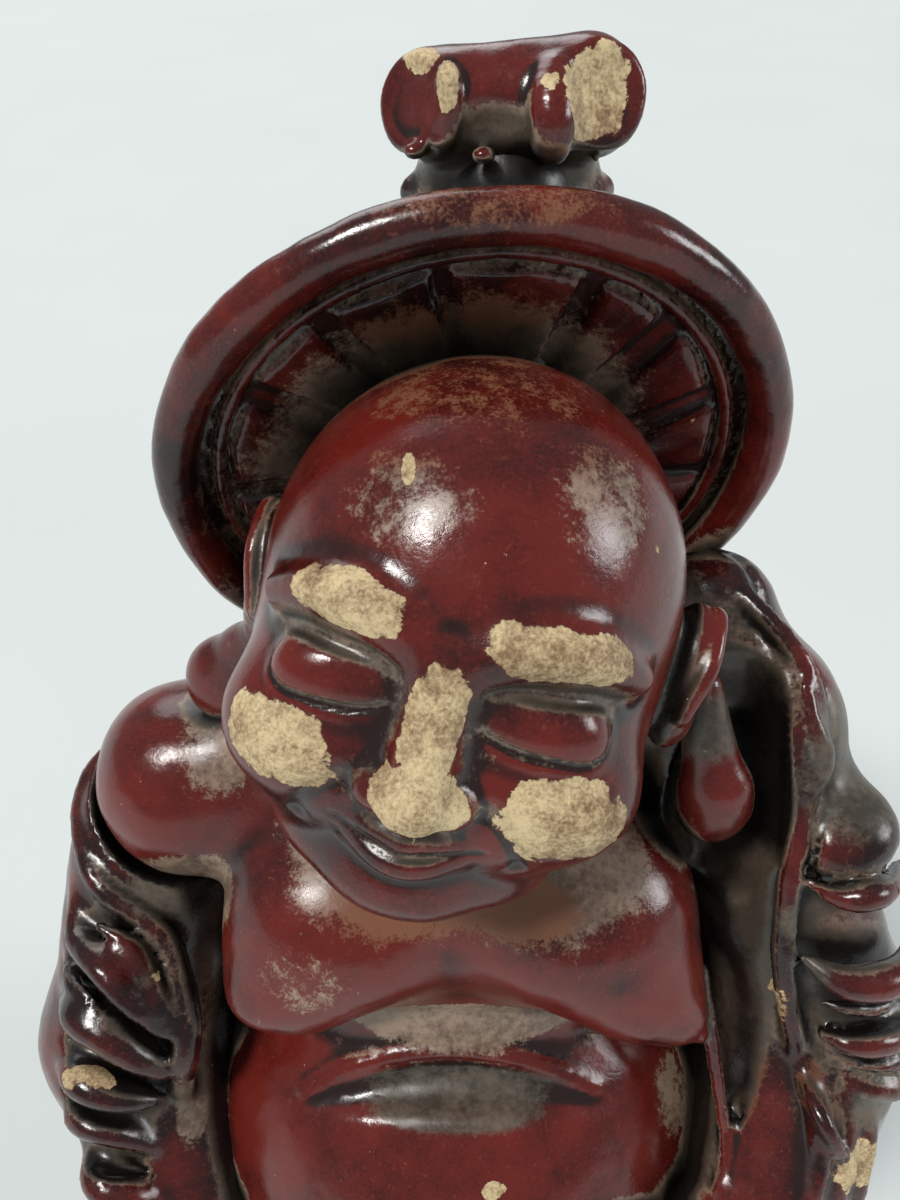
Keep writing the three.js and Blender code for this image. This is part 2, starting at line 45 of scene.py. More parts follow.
# Driving dimensions. A centre is a place on the figure, and radii are half its width, depth and height.
PLINTH = dict(half_width=24, half_depth=18, height=5.5, bevel=0.9, step_in=1.2)
SKIRT = dict(top=29, hem=6, waist=(13.4, 10), foot=(16.6, 12.4), centre_y=-1, folds=13)
BELLY = dict(centre=(0, -3.6, 33.4), radii=(13.8, 13.4, 13))
CHEST = dict(centre=(0, 1.4, 46.5), radii=(10.4, 8.4, 10.4))
BREAST = dict(centre=(4.6, -3.4, 50.6), radii=(5.3, 4.6, 4.2))
HEAD = dict(centre=(0, 0, 63.6), pitch=-26, roll=8, yaw=-12, scale=0.95)
HAT = dict(centre=(0.6, 6, 65.1), radius=11.9, lean=10, turn=6.4, bead=0.82, thickness=1.5, dish=2.6)
SLATS = dict(count=17, hub=(1, 2.5), groove=0.36, height=0.34)  # inside the hat, fanned out from a hub
SACK = dict(centre=(0.4, 10.6, 44), radii=(12.2, 6, 16), folds=9)
KNOT = dict(left=(-1.0, 8, 77.75), right=(3.55, 7.9, 78), mouth=(1.4, 8.4, 75))
ARM_RIGHT = dict(shoulder=(-14, 1.6, 49), elbow=(-15.8, -5, 40.4), wrist=(-11.8, -12.6, 34), cuff_drop=6.5)
ARM_LEFT = dict(shoulder=(13.4, 1.4, 51.4), elbow=(16.6, -5, 43.2), wrist=(13.2, -12.8, 37.6), cuff_drop=7.5)
HAND_RIGHT = dict(root=(8, 32.4), reach=5, fall=0.6)
HAND_LEFT = dict(root=(8.4, 36), reach=5, fall=1.6)

# How finely each piece of clay is sampled.
STEP = dict(torso=0.26, robe=0.27, hand=0.16, belt=0.2, head=0.13, hat=0.165, knot=0.11, sack=0.34, skirt=0.33, whole=0.6)


# Small helpers with points

def vec(*p):
    return np.array(p, float)


def mix(a, b, t):
    return a + (b - a) * t


def smooth(edge0, edge1, x):
    t = np.clip((x - edge0) / (edge1 - edge0), 0, 1)
    return t * t * (3 - 2 * t)


def even(radius):
    return lambda t: radius + 0 * t


def tapered(start, end):
    return lambda t: mix(start, end, t)


def swelling(ends, middle):
    return lambda t: mix(ends, middle, np.sin(math.pi * t))


def straight(a, b, count=2):
    t = np.linspace(0, 1, count)[:, None]
    return mix(vec(*a), vec(*b), t)


def bent(a, via, b, count=9):
    t = np.linspace(0, 1, count)[:, None]
    return (1 - t) ** 2 * vec(*a) + 2 * t * (1 - t) * vec(*via) + t ** 2 * vec(*b)


def winding(points, per_span=6):
    """A smooth curve through the points."""
    p = np.array(points, float)
    p = np.vstack([2 * p[0] - p[1], p, 2 * p[-1] - p[-2]])
    out = []
    for i in range(1, len(p) - 2):
        for t in np.linspace(0, 1, per_span, endpoint=False):
            a, b, c, d = p[i - 1], p[i], p[i + 1], p[i + 2]
            out.append(0.5 * (2 * b + (c - a) * t + (2 * a - 5 * b + 4 * c - d) * t ** 2
                              + (3 * b - a - 3 * c + d) * t ** 3))
    out.append(p[-2])
    return np.array(out)


def rotation(pitch, roll, yaw):
    """The matrix that pitches about X, then rolls about Y, then yaws about Z, in degrees."""
    x, y, z = (math.radians(a) for a in (pitch, roll, yaw))
    rx = np.array([[1, 0, 0], [0, math.cos(x), -math.sin(x)], [0, math.sin(x), math.cos(x)]])
    ry = np.array([[math.cos(y), 0, math.sin(y)], [0, 1, 0], [-math.sin(y), 0, math.cos(y)]])
    rz = np.array([[math.cos(z), -math.sin(z), 0], [math.sin(z), math.cos(z), 0], [0, 0, 1]])
    return rz @ ry @ rx


class Place:
    """A turned, scaled and moved frame, such as the head's."""

    def __init__(self, centre, pitch=0, roll=0, yaw=0, scale=1):
        self.centre = vec(*centre)
        self.turn = rotation(pitch, roll, yaw)
        self.scale = scale

    def point(self, p):
        return self.centre + self.scale * np.asarray(p, float) @ self.turn.T

    def local(self, p):
        return (np.asarray(p, float) - self.centre) @ self.turn / self.scale


WORLD = Place((0, 0, 0))
ON_HEAD = Place(**HEAD)


# Forms: each has the box that holds it, and the distance from points to its surface

class Form:
    def __init__(self, low, high, distance, parts=()):
        self.low = np.asarray(low, float)
        self.high = np.asarray(high, float)
        self.distance = distance
        self.parts = parts


def ellipsoid(centre, radii, place=WORLD):
    c = place.point(centre)
    r = vec(*radii) * place.scale
    turn = place.turn
    reach = np.sqrt((turn ** 2) @ (r ** 2))

    def distance(x, y, z):
        x, y, z = x - c[0], y - c[1], z - c[2]
        u = [(turn[0, i] * x + turn[1, i] * y + turn[2, i] * z) / r[i] for i in range(3)]
        k = np.sqrt(u[0] ** 2 + u[1] ** 2 + u[2] ** 2)
        slope = np.sqrt((u[0] / r[0]) ** 2 + (u[1] / r[1]) ** 2 + (u[2] / r[2]) ** 2)
        return k * (k - 1) / np.maximum(slope, 1e-6)

    return Form(c - reach, c + reach, distance)


def capsule(a, b, ra, rb):
    u = b - a
    length2 = max(float(u @ u), 1e-9)

    def distance(x, y, z):
        t = ((x - a[0]) * u[0] + (y - a[1]) * u[1] + (z - a[2]) * u[2]) / length2
        t = np.clip(t, 0, 1)
        gap = np.sqrt((x - a[0] - t * u[0]) ** 2 + (y - a[1] - t * u[1]) ** 2 + (z - a[2] - t * u[2]) ** 2)
        return gap - mix(ra, rb, t)

    low = np.minimum(a - ra, b - rb)
    high = np.maximum(a + ra, b + rb)
    return Form(low, high, distance)


def tube(points, radius_at, place=WORLD):
    """A round tube along points. radius_at gives its radius from 0 at its start to 1 at its end."""
    p = place.point(points)
    r = radius_at(np.linspace(0, 1, len(p))) * place.scale
    parts = [capsule(p[i], p[i + 1], r[i], r[i + 1]) for i in range(len(p) - 1)]
    low = np.min([q.low for q in parts], axis=0)
    high = np.max([q.high for q in parts], axis=0)
    return Form(low, high, None, parts)


def soft_min(a, b, blend):
    h = np.maximum(blend - np.abs(a - b), 0) / blend
    return np.minimum(a, b) - h * h * blend / 4


class Clay:
    """A block of samples of the distance to a surface. Forms are laid on it, or carved out of it."""

    def __init__(self, low, high, step, margin=1.2):
        self.low = vec(*low)
        self.step = step
        self.margin = margin
        self.counts = np.ceil((vec(*high) - self.low) / step).astype(int) + 1
        self.field = np.full(self.counts, FAR, np.float32)

    def window(self, low, high, margin):
        first = np.clip(np.floor((low - margin - self.low) / self.step).astype(int), 0, self.counts)
        last = np.clip(np.ceil((high + margin - self.low) / self.step).astype(int) + 1, 0, self.counts)
        return first, np.maximum(last, first)

    def axes(self, first, last):
        x, y, z = (
            (self.low[i] + self.step * np.arange(first[i], last[i])).astype(np.float32) for i in range(3)
        )
        return x[:, None, None], y[None, :, None], z[None, None, :]

    def measure(self, form, margin):
        first, last = self.window(form.low, form.high, margin)
        if np.any(last <= first):
            return None, None
        where = tuple(slice(a, b) for a, b in zip(first, last))
        if not form.parts:
            return where, form.distance(*self.axes(first, last))
        values = np.full(last - first, FAR, np.float32)
        for part in form.parts:
            a, b = self.window(part.low, part.high, margin)
            if np.any(b <= a):
                continue
            inner = tuple(slice(i, j) for i, j in zip(a - first, b - first))
            values[inner] = np.minimum(values[inner], part.distance(*self.axes(a, b)))
        return where, values

    def lay(self, form, blend):
        where, values = self.measure(form, self.margin + blend)
        if where is not None:
            self.field[where] = soft_min(self.field[where], values, blend)

    def carve(self, form, blend):
        where, values = self.measure(form, self.margin + blend)
        if where is not None:
            self.field[where] = -soft_min(-self.field[where], values, blend)

    def sample(self, points):
        """The distance at points, by linear interpolation."""
        g = (points - self.low) / self.step
        g = np.clip(g, 0, self.counts - 1.001)
        i = g.astype(np.int32)
        f = (g - i).astype(np.float32)
        out = np.zeros(len(points), np.float32)
        for dx in (0, 1):
            for dy in (0, 1):
                for dz in (0, 1):
                    w = np.abs(1 - dx - f[:, 0]) * np.abs(1 - dy - f[:, 1]) * np.abs(1 - dz - f[:, 2])
                    out += w * self.field[i[:, 0] + dx, i[:, 1] + dy, i[:, 2] + dz]
        return out

    def slope(self, points):
        e = self.step * 0.5
        out = np.empty((len(points), 3))
        for axis in range(3):
            shift = np.zeros(3)
            shift[axis] = e
            out[:, axis] = self.sample(points + shift) - self.sample(points - shift)
        return out / (2 * e)

    def skin(self):
        """The clay's surface as vertices and four-sided faces: one vertex in each cell that it crosses."""
        f = self.field
        inside = f < 0
        corner = [(dx, dy, dz) for dx in (0, 1) for dy in (0, 1) for dz in (0, 1)]
        n = np.array(f.shape) - 1
        some = np.zeros(n, bool)
        full = np.ones(n, bool)
        for dx, dy, dz in corner:
            part = inside[dx:dx + n[0], dy:dy + n[1], dz:dz + n[2]]
            some |= part
            full &= part
        cells = np.argwhere(some & ~full)
        index = np.full(n, -1, np.int32)
        index[tuple(cells.T)] = np.arange(len(cells), dtype=np.int32)
        total = np.zeros((len(cells), 3))
        hits = np.zeros(len(cells))
        for axis in range(3):
            for dx, dy, dz in corner:
                start = (dx, dy, dz)
                if start[axis]:
                    continue
                end = list(start)
                end[axis] = 1
                a = f[tuple((cells + start).T)]
                b = f[tuple((cells + end).T)]
                cross = (a < 0) != (b < 0)
                t = np.where(cross, a / np.where(cross, a - b, 1), 0)
                at = np.repeat(np.array([start], float), len(cells), axis=0)
                at[:, axis] += t
                total += at * cross[:, None]
                hits += cross
        points = self.low + self.step * (cells + total / hits[:, None])
        faces = []
        for axis in range(3):
            a = np.moveaxis(inside, axis, 0)
            change = a[:-1] != a[1:]
            edges = np.argwhere(change)
            starts_inside = a[:-1][change]
            u, v = [i for i in range(3) if i != axis]
            full_edges = np.empty_like(edges)
            full_edges[:, axis] = edges[:, 0]
            full_edges[:, u] = edges[:, 1]
            full_edges[:, v] = edges[:, 2]
            keep = (full_edges[:, u] > 0) & (full_edges[:, v] > 0)
            keep &= (full_edges[:, u] < n[u]) & (full_edges[:, v] < n[v])
            e, starts = full_edges[keep], starts_inside[keep]
            ring = []
            for du, dv in ((1, 1), (0, 1), (0, 0), (1, 0)):
                c = e.copy()
                c[:, u] -= du
                c[:, v] -= dv
                ring.append(index[tuple(c.T)])
            quads = np.stack(ring, axis=1)
            flip = starts if axis == 1 else ~starts
            quads[flip] = quads[flip][:, ::-1]
            faces.append(quads)
        for _ in range(2):
            slope = self.slope(points)
            size2 = np.maximum((slope ** 2).sum(1), 0.05)
            move = -self.sample(points) / size2
            points = points + np.clip(move, -0.5 * self.step, 0.5 * self.step)[:, None] * slope
        return points, np.vstack(faces)


def largest_part(points, faces):
    """Keeps the biggest connected skin, so that no loose crumb or buried bubble is left."""
    label = np.arange(len(points))
    settled = False
    while not settled:
        lowest = label[faces].min(axis=1)
        spread = label.copy()
        for corner in range(faces.shape[1]):
            np.minimum.at(spread, faces[:, corner], lowest)
        spread = spread[spread]
        settled = np.array_equal(spread, label)
        label = spread
    keep = label == np.bincount(label).argmax()
    number = np.cumsum(keep) - 1
    return points[keep], number[faces[keep[faces[:, 0]]]]


def on_skin(clay, points, lift=0.0):
    """The points moved onto the clay's surface, or to a height above it."""
    p = np.array(points, float)
    for _ in range(8):
        slope = clay.slope(p)
        size2 = np.maximum((slope ** 2).sum(1), 0.05)
        move = np.clip((clay.sample(p) - lift) / size2, -0.5, 0.5)
        p = p - move[:, None] * slope
    return p


# The sculpture, form by form

def belly_front(x, z):
    """Where the belly's front is, at a given place across and up."""
    (cx, cy, cz), (rx, ry, rz) = BELLY["centre"], BELLY["radii"]
    return cy - ry * math.sqrt(max(1 - (x / rx) ** 2 - ((z - cz) / rz) ** 2, 0))


def skirt_form():
    top, hem, folds = SKIRT["top"], SKIRT["hem"], SKIRT["folds"]
    cy = SKIRT["centre_y"]
    wide, deep = SKIRT["foot"]
    fold_depth = 0.85

    def distance(x, y, z):
        drop = np.clip((top - z) / (top - hem), 0, 1)
        flare = drop * drop * (3 - 2 * drop)
        a = mix(SKIRT["waist"][0], wide, flare)
        b = mix(SKIRT["waist"][1], deep, flare)
        turn = np.arctan2(x / a, (cy - y) / b)
        wave = np.cos(folds * turn + 0.9 * np.sin(2 * turn + 1) + 0.6 * drop)
        fold = fold_depth * drop * wave * np.abs(wave) ** 0.3
        ripple = 0.14 * drop * np.cos(3 * folds * turn + 2 * np.sin(3 * turn) + 2 * drop)
        side = (np.sqrt((x / a) ** 2 + ((y - cy) / b) ** 2) - 1) * b - fold - ripple
        caps = np.abs(z - (top + hem) / 2) - (top - hem) / 2
        return -soft_min(-side, -caps, 1.2)

    reach = vec(wide + 1.2, deep + 1.2, 0)
    return Form(vec(0, cy, hem) - reach, vec(0, cy, top) + reach, distance)


def sculpt_skirt(clay):
    clay.lay(skirt_form(), 0.1)
    for side in SIDES:
        heel, toe = (side * 5, -8, 6.6), (side * 6.6, -13.6, 6.5)
        clay.lay(tube(straight(heel, toe), tapered(2.4, 2.6)), 0.5)
        # The shoe's sole, and the seam over its toe.
        clay.carve(tube(bent((side * 2.6, -11, 6), (side * 6.8, -19, 6.1), (side * 10.6, -11, 6)), even(0.16)), 0.2)
        clay.carve(tube(bent((side * 3.6, -12.6, 7.6), (side * 6.4, -14, 11), (side * 9, -12.6, 7.6)), even(0.12)), 0.2)
    clay.lay(tube(bent((0.5, -12.6, 20), (-2, -12.4, 13), (-0.6, -13.2, 6.4)), swelling(0.6, 0.9)), 0.9)
    hem = SKIRT["hem"] + 1.5
    wide, deep = SKIRT["foot"]
    ring = [(wide * 1.04 * math.sin(t), -1 - deep * 1.05 * math.cos(t), hem) for t in np.linspace(0, 2 * math.pi, 60)]
    clay.carve(tube(ring, even(0.2)), 0.3)


def sculpt_belt(clay):
    belt = []
    for turn in np.linspace(0, 2 * math.pi, 25):
        front = (1 - math.cos(turn)) / 2
        belt.append((13.6 * math.sin(turn), -1.2 + 10.8 * math.cos(turn), mix(26, 20.4, front)))
    path = winding(belt, 4)
    clay.lay(tube(path, even(1.1)), 0.6)
    # The belt is a twisted cord: a groove winds round it.
    twist = []
    along = np.linspace(0, 1, len(path) * 4)
    for t in along:
        i = min(int(t * (len(path) - 1)), len(path) - 2)
        p = mix(path[i], path[i + 1], t * (len(path) - 1) - i)
        out = vec(p[0], p[1] + 1.2, 0)
        out /= max(np.linalg.norm(out), 1e-6)
        phase = 2 * math.pi * 40 * t
        twist.append(p + 1.12 * (out * math.cos(phase) + vec(0, 0, 1) * math.sin(phase)))
    clay.carve(tube(twist, even(0.16)), 0.25)
    clay.lay(ellipsoid((0, -12.6, 20), (1.9, 1.6, 1.5)), 0.4)
    for side in SIDES:
        clay.lay(tube(bent((0, -12.8, 19.6), (side * 1.2, -13.2, 16), (side * 2.2, -12.6, 12)), tapered(0.8, 1)), 0.4)
        clay.lay(tube(bent((0, -13.4, 20.4), (side * 3.4, -14.4, 22), (side * 3, -13.4, 19.6)), even(0.75)), 0.3)
        clay.carve(tube(straight((side * 1, -14.4, 21.4), (side * 0.9, -14.3, 18.8)), even(0.2)), 0.3)


def sculpt_torso(clay):
    clay.lay(tube(straight((0, 2, 50), (0, 1.6, 59)), even(5.6)), 1)
    clay.lay(ellipsoid(CHEST["centre"], CHEST["radii"]), 3)
    cx, cy, cz = BREAST["centre"]
    for side in SIDES:
        clay.lay(ellipsoid((side * cx, cy, cz), BREAST["radii"]), 1.4)
        clay.lay(ellipsoid((side * 6.6, -5, 49.4), (3.2, 3.4, 2.6)), 1.2)
    clay.lay(ellipsoid((7.5, -6, 48.7), (2.5, 2.6, 2)), 1)
    clay.lay(ellipsoid((-6.9, -5.5, 49), (2.5, 2.5, 1.9)), 1)
    clay.lay(ellipsoid((0, 0.2, 45.4), (10.6, 8, 4)), 0.4)
    clay.lay(ellipsoid(BELLY["centre"], BELLY["radii"]), 0.9)
    # The bare shoulder.
    clay.lay(ellipsoid((-12, 1.4, 52.6), (4, 4.2, 4.3)), 1.4)
    clay.lay(tube(straight((-11, 1.4, 52), (-6, 0, 52)), even(3.6)), 1.4)
    clay.lay(tube(straight((-10, 1.4, 53.6), (-5, 1.4, 56.4)), even(3)), 1.6)
    # The fold under the breasts runs in a soft double arch, from one nipple to the other.
    arch = [
        (-8.9, -6.8, 48.1), (-7, -7.7, 47.3), (-4, -7.9, 47.9), (0, -7.2, 48.9), (4, -8, 47.7), (7, -8.1, 46.6),
        (9.4, -7.5, 46.9),
    ]
    clay.carve(tube(winding(arch), swelling(0.15, 0.26)), 0.2)
    clay.lay(ellipsoid((-8.1, -6.8, 49.1), (1.1, 1, 0.8)), 1.2)
    clay.lay(ellipsoid((-8.8, -7.4, 48.9), (0.3, 0.3, 0.26)), 0.3)
    clay.lay(ellipsoid((9, -7.4, 48.2), (1, 1, 0.8)), 1.2)
    clay.lay(ellipsoid((9.75, -8.1, 47.9), (0.36, 0.34, 0.32)), 0.35)
    # A crescent hollow on top of the belly, under a soft lip.
    crescent = [(-6.7, -9.5, 43.7), (-3.6, -9.4, 45), (-0.3, -9.4, 45.6), (3, -9.5, 45.2), (6, -9.5, 44)]
    clay.carve(tube(winding(on_skin(clay, crescent, 0.55)), swelling(0.5, 1.25)), 0.35)
    lip = [(-6.9, -8.9, 43.4), (-4.7, -8.2, 44.7), (-1.6, -7.8, 45.5), (0.9, -7.9, 45.6), (3.5, -8.3, 45), (5.9, -8.9, 43.9)]
    clay.lay(tube(winding(on_skin(clay, lip)), swelling(0.05, 0.22)), 0.5)
    clay.carve(ellipsoid((0, belly_front(0, 31.6), 31.6), (1.1, 1.2, 0.9)), 0.8)
    clay.carve(tube(bent((-3, belly_front(-3, 30.4) + 0.1, 30.4), (0, belly_front(0, 29.4) + 0.1, 29.2),
                         (3, belly_front(3, 30.4) + 0.1, 30.4)), swelling(0.05, 0.22)), 0.5)


def sculpt_robe(clay):
    clay.lay(ellipsoid((0, 2.6, 38), (15.2, 8.4, 15)), 1.5)
    clay.lay(ellipsoid((5, 4.6, 54), (9, 4.4, 7.4)), 1.2)
    clay.lay(ellipsoid((10.6, 5.4, 57), (3.4, 3, 4.8)), 1)
    for side in SIDES:
        clay.lay(ellipsoid((side * 12.9, -2.4, 33), (2.4, 6.2, 12)), 1)
    clay.lay(ellipsoid((11.9, 2.2, 53.4), (4.9, 4.8, 6.6)), 1.2)


def sculpt_sleeve(clay, arm):
    shoulder, elbow, wrist = (vec(*arm[k]) for k in ("shoulder", "elbow", "wrist"))
    drop = arm["cuff_drop"]
    side = math.copysign(1, elbow[0])
    clay.lay(tube([shoulder, elbow], even(4.1)), 1.4)
    clay.lay(tube([elbow, wrist], tapered(4.3, 3.3)), 1.2)
    middle = mix(elbow, wrist, 0.45)
    clay.lay(ellipsoid(middle + vec(side * -0.4, 1, -drop / 2), (3, 5.6, drop / 2 + 2.4)), 1.6)
    rim = []
    for turn in np.linspace(0, 2 * math.pi, 13):
        hang = max(-math.cos(turn), 0) * drop * 0.6
        rim.append(wrist + vec(2.9 * math.sin(turn), 0.8 + 0.5 * hang, 2.9 * math.cos(turn) - hang))
    clay.lay(tube(winding(rim, 3), even(0.75)), 0.8)
    # Soft creases that fan out over the hanging cuff.
    for i in range(6):
        t = i / 5
        start = mix(elbow, wrist, 0.15) + vec(side * 3.2, -1.2, -1)
        end = mix(elbow, wrist, mix(-0.1, 1.0, t)) + vec(side * 2.6, 0.6, -drop - 1.2 + 2.5 * t)
        via = mix(start, end, 0.5) + vec(side * 1.4, 0, -0.6)
        clay.lay(tube(bent(start, via, end), swelling(0.2, 0.55)), 0.6)


def sculpt_hand(clay, hand, side):
    """A hand that lies flat on the belly, with its fingers together and its thumb raised."""
    (x0, z0), reach, fall = hand["root"], hand["reach"], hand["fall"]

    def on_belly(x, z, lift):
        return vec(side * x, belly_front(x, z) - lift, z)

    clay.lay(ellipsoid(on_belly(x0 + 0.6, z0, 0.1), (2.4, 1.9, 2.6)), 0.8)
    for i in range(4):
        across = z0 + (1.5 - i) * 1.4
        length = reach * (1 - 0.09 * abs(i - 1.2))
        start = on_belly(x0, across, 0.6)
        knuckle = on_belly(x0 - 0.5 * length, across - 0.5 * fall, 1.3)
        tip = on_belly(x0 - length, across - fall, 0.3)
        clay.lay(tube(bent(start, knuckle, tip), tapered(0.9, 0.72)), 0.18)
        nail = on_belly(x0 - 0.86 * length, across - 0.86 * fall, 1.05)
        clay.carve(ellipsoid(nail - vec(0, 0.42, 0), (0.55, 0.3, 0.4)), 0.12)
        for share in (0.3, 0.6):
            joint = on_belly(x0 - share * length, across - share * fall, 1.6)
            clay.carve(tube(straight(joint - vec(0, 0, 0.5), joint + vec(0, 0, 0.5)), even(0.1)), 0.2)
    thumb = bent(on_belly(x0 + 0.6, z0 + 1.6, 0.8), on_belly(x0, z0 + 4, 1), on_belly(x0 - 2.4, z0 + 4.4, 0.4))
    clay.lay(tube(thumb, tapered(1, 0.8)), 0.3)


# Folds of his right sleeve, from the top down. Each is the points along its crest, and its thickness.
RIGHT_FOLDS = [
    ([(-15.6, -4.2, 49.6), (-14.4, -4.7, 49.1), (-13.7, -5.2, 48.6), (-12.8, -6.3, 47.6), (-11.8, -7.4, 46)], 0.5),
    ([(-17.3, -1.55, 48.5), (-16.8, -4, 48.1), (-15, -5.6, 48.6), (-13.7, -6.7, 47.8), (-12.5, -7.5, 46.2)], 0.72),
    ([(-18, -3.05, 45.9), (-17, -5.4, 46.9), (-15.4, -6.3, 47.2), (-14.3, -6.9, 46.9)], 0.5),
    ([(-17.9, -4.7, 44.85), (-16.6, -6.6, 46.3), (-14.9, -7.4, 46.2), (-13.6, -8, 45.3), (-12.6, -8.3, 44.3)], 0.95),
    ([(-18.1, -6.8, 42.5), (-16.8, -8.4, 43.8), (-15, -9, 43.6), (-13.2, -9, 42.9)], 0.8),
    ([(-17.8, -8, 40.8), (-16.8, -9.4, 42), (-15.2, -9.9, 42), (-13.6, -10.3, 40.8)], 0.85),
    ([(-17.1, -9.6, 39), (-16, -11.4, 40), (-14.4, -11.9, 39.6), (-13, -12, 38.4)], 0.9),
]
RIGHT_VALLEYS = [
    ([(-15.6, -5, 48.7), (-14.6, -5.7, 48.6), (-13.6, -6.4, 47.8)], 0.22),
    ([(-17.4, -4.4, 46.9), (-15.6, -6, 47.4), (-14, -7, 47.2), (-12.8, -7.8, 45.4)], 0.36),
    ([(-17.6, -6.8, 44), (-16, -8, 45), (-14.4, -8.4, 44.8), (-12.8, -8.7, 43.4)], 0.5),
    ([(-18, -8, 42), (-16, -9.4, 42.9), (-14, -9.8, 42.3)], 0.32),
    ([(-17.8, -9.6, 40.2), (-16, -10.9, 40.9), (-13.6, -11.2, 39.6)], 0.42),
]
# Folds of his left sleeve, which lie across the arm above the elbow. The first overhangs.
LEFT_FOLDS = [
    ([(13.9, -4.2, 53.2), (14.8, -4.9, 53.4), (15.8, -4.9, 53.6), (17, -4.3, 53.1), (18.4, -2.6, 52)], 0.62),
    ([(13.9, -6, 50.5), (15.5, -6.8, 50), (17.9, -6.3, 49.5), (19.6, -4.4, 48.6)], 0.78),
    ([(14.6, -7, 48.8), (15.8, -7.3, 48.6), (17.6, -6.95, 48), (19.4, -5.4, 47.2)], 0.34),
    ([(14.9, -7.7, 47.2), (16.3, -8.2, 47.3), (18.5, -7.6, 46.6), (20, -5.8, 45.6)], 0.6),
    ([(16, -8.5, 46.2), (17.4, -8.7, 46), (19, -8.2, 45.3), (20.2, -6.6, 44.4)], 0.26),
    ([(16.4, -9, 45.2), (17.8, -9.2, 44.8), (19.4, -8.5, 43.8), (20.2, -7, 43)], 0.55),
    ([(14.4, -8.7, 45.4), (14.6, -9.8, 45.4), (15.2, -11, 44.9), (16.7, -11.9, 42.4)], 0.36),
]


def lay_fold(clay, crest, size, blend):
    """A fold whose ridge follows the points and whose ends sink into the clay."""
    clay.lay(tube(winding(crest), swelling(0.3 * size, size)), blend)


def sculpt_arms(clay):
    sculpt_sleeve(clay, ARM_RIGHT)
    sculpt_sleeve(clay, ARM_LEFT)
    for crest, size in RIGHT_FOLDS:
        lay_fold(clay, crest, size, 0.5)
        out = [(x - 0.2 * size, y - 0.35 * size, z + 0.35 * size) for x, y, z in crest[1:]]
        lay_fold(clay, out, 0.5 * size, 0.4)
    for bottom, size in RIGHT_VALLEYS:
        clay.carve(tube(winding(bottom), swelling(0.1, size)), 0.3)
    # The cloth over the shoulder, which stands out above the first fold.
    clay.lay(ellipsoid((15.3, -1.9, 54), (2.5, 2.4, 1.5)), 1.2)
    for crest, size in LEFT_FOLDS:
        lay_fold(clay, crest, size, 0.35)
    for crest, size in LEFT_FOLDS[:5]:
        under = [(x, y - 0.1, z - 1.15 * size - 0.1) for x, y, z in crest]
        clay.carve(tube(winding(under), swelling(0.05, 0.25 * size)), 0.2)
    clay.carve(tube(winding([(14.2, -5, 52.2), (15.6, -5.8, 52.2), (17.6, -5, 51.4)]), swelling(0.2, 0.5)), 0.4)
    # Long folds that run down the left forearm.
    for i in range(3):
        start = vec(14.4 + 1.2 * i, -7.4 - 0.6 * i, 45.4 - 0.5 * i)
        via = vec(15.6 + 1.2 * i, -10.4, 45.4 - 0.8 * i)
        end = vec(14.4 + 1.1 * i, -13.6, 41 - 1.2 * i)
        clay.lay(tube(bent(start, via, end, 12), swelling(0.2, 0.45)), 0.5)


def open_gaps(clay):
    """The dark gaps in the robe, round the bare shoulder and beside the chest."""
    clay.carve(ellipsoid((-12, 1.4, 52.8), (4.5, 4.8, 4.9)), 0.3)
    clay.carve(tube(bent((-10.4, -3.4, 49.4), (-11.2, -6, 47.4), (-11, -8.4, 44.6), 10), tapered(1.7, 0.6)), 0.5)
    pit = [(10.8, 0.6, 59.6), (11.4, -1.6, 55), (11.5, -4.4, 50.4), (11.6, -7.6, 46.4), (11.8, -8.5, 45)]
    clay.carve(tube(winding(pit), tapered(1.7, 0.5)), 0.6)
    clay.carve(ellipsoid((10.6, -2.4, 55), (2.2, 4, 5)), 0.6)


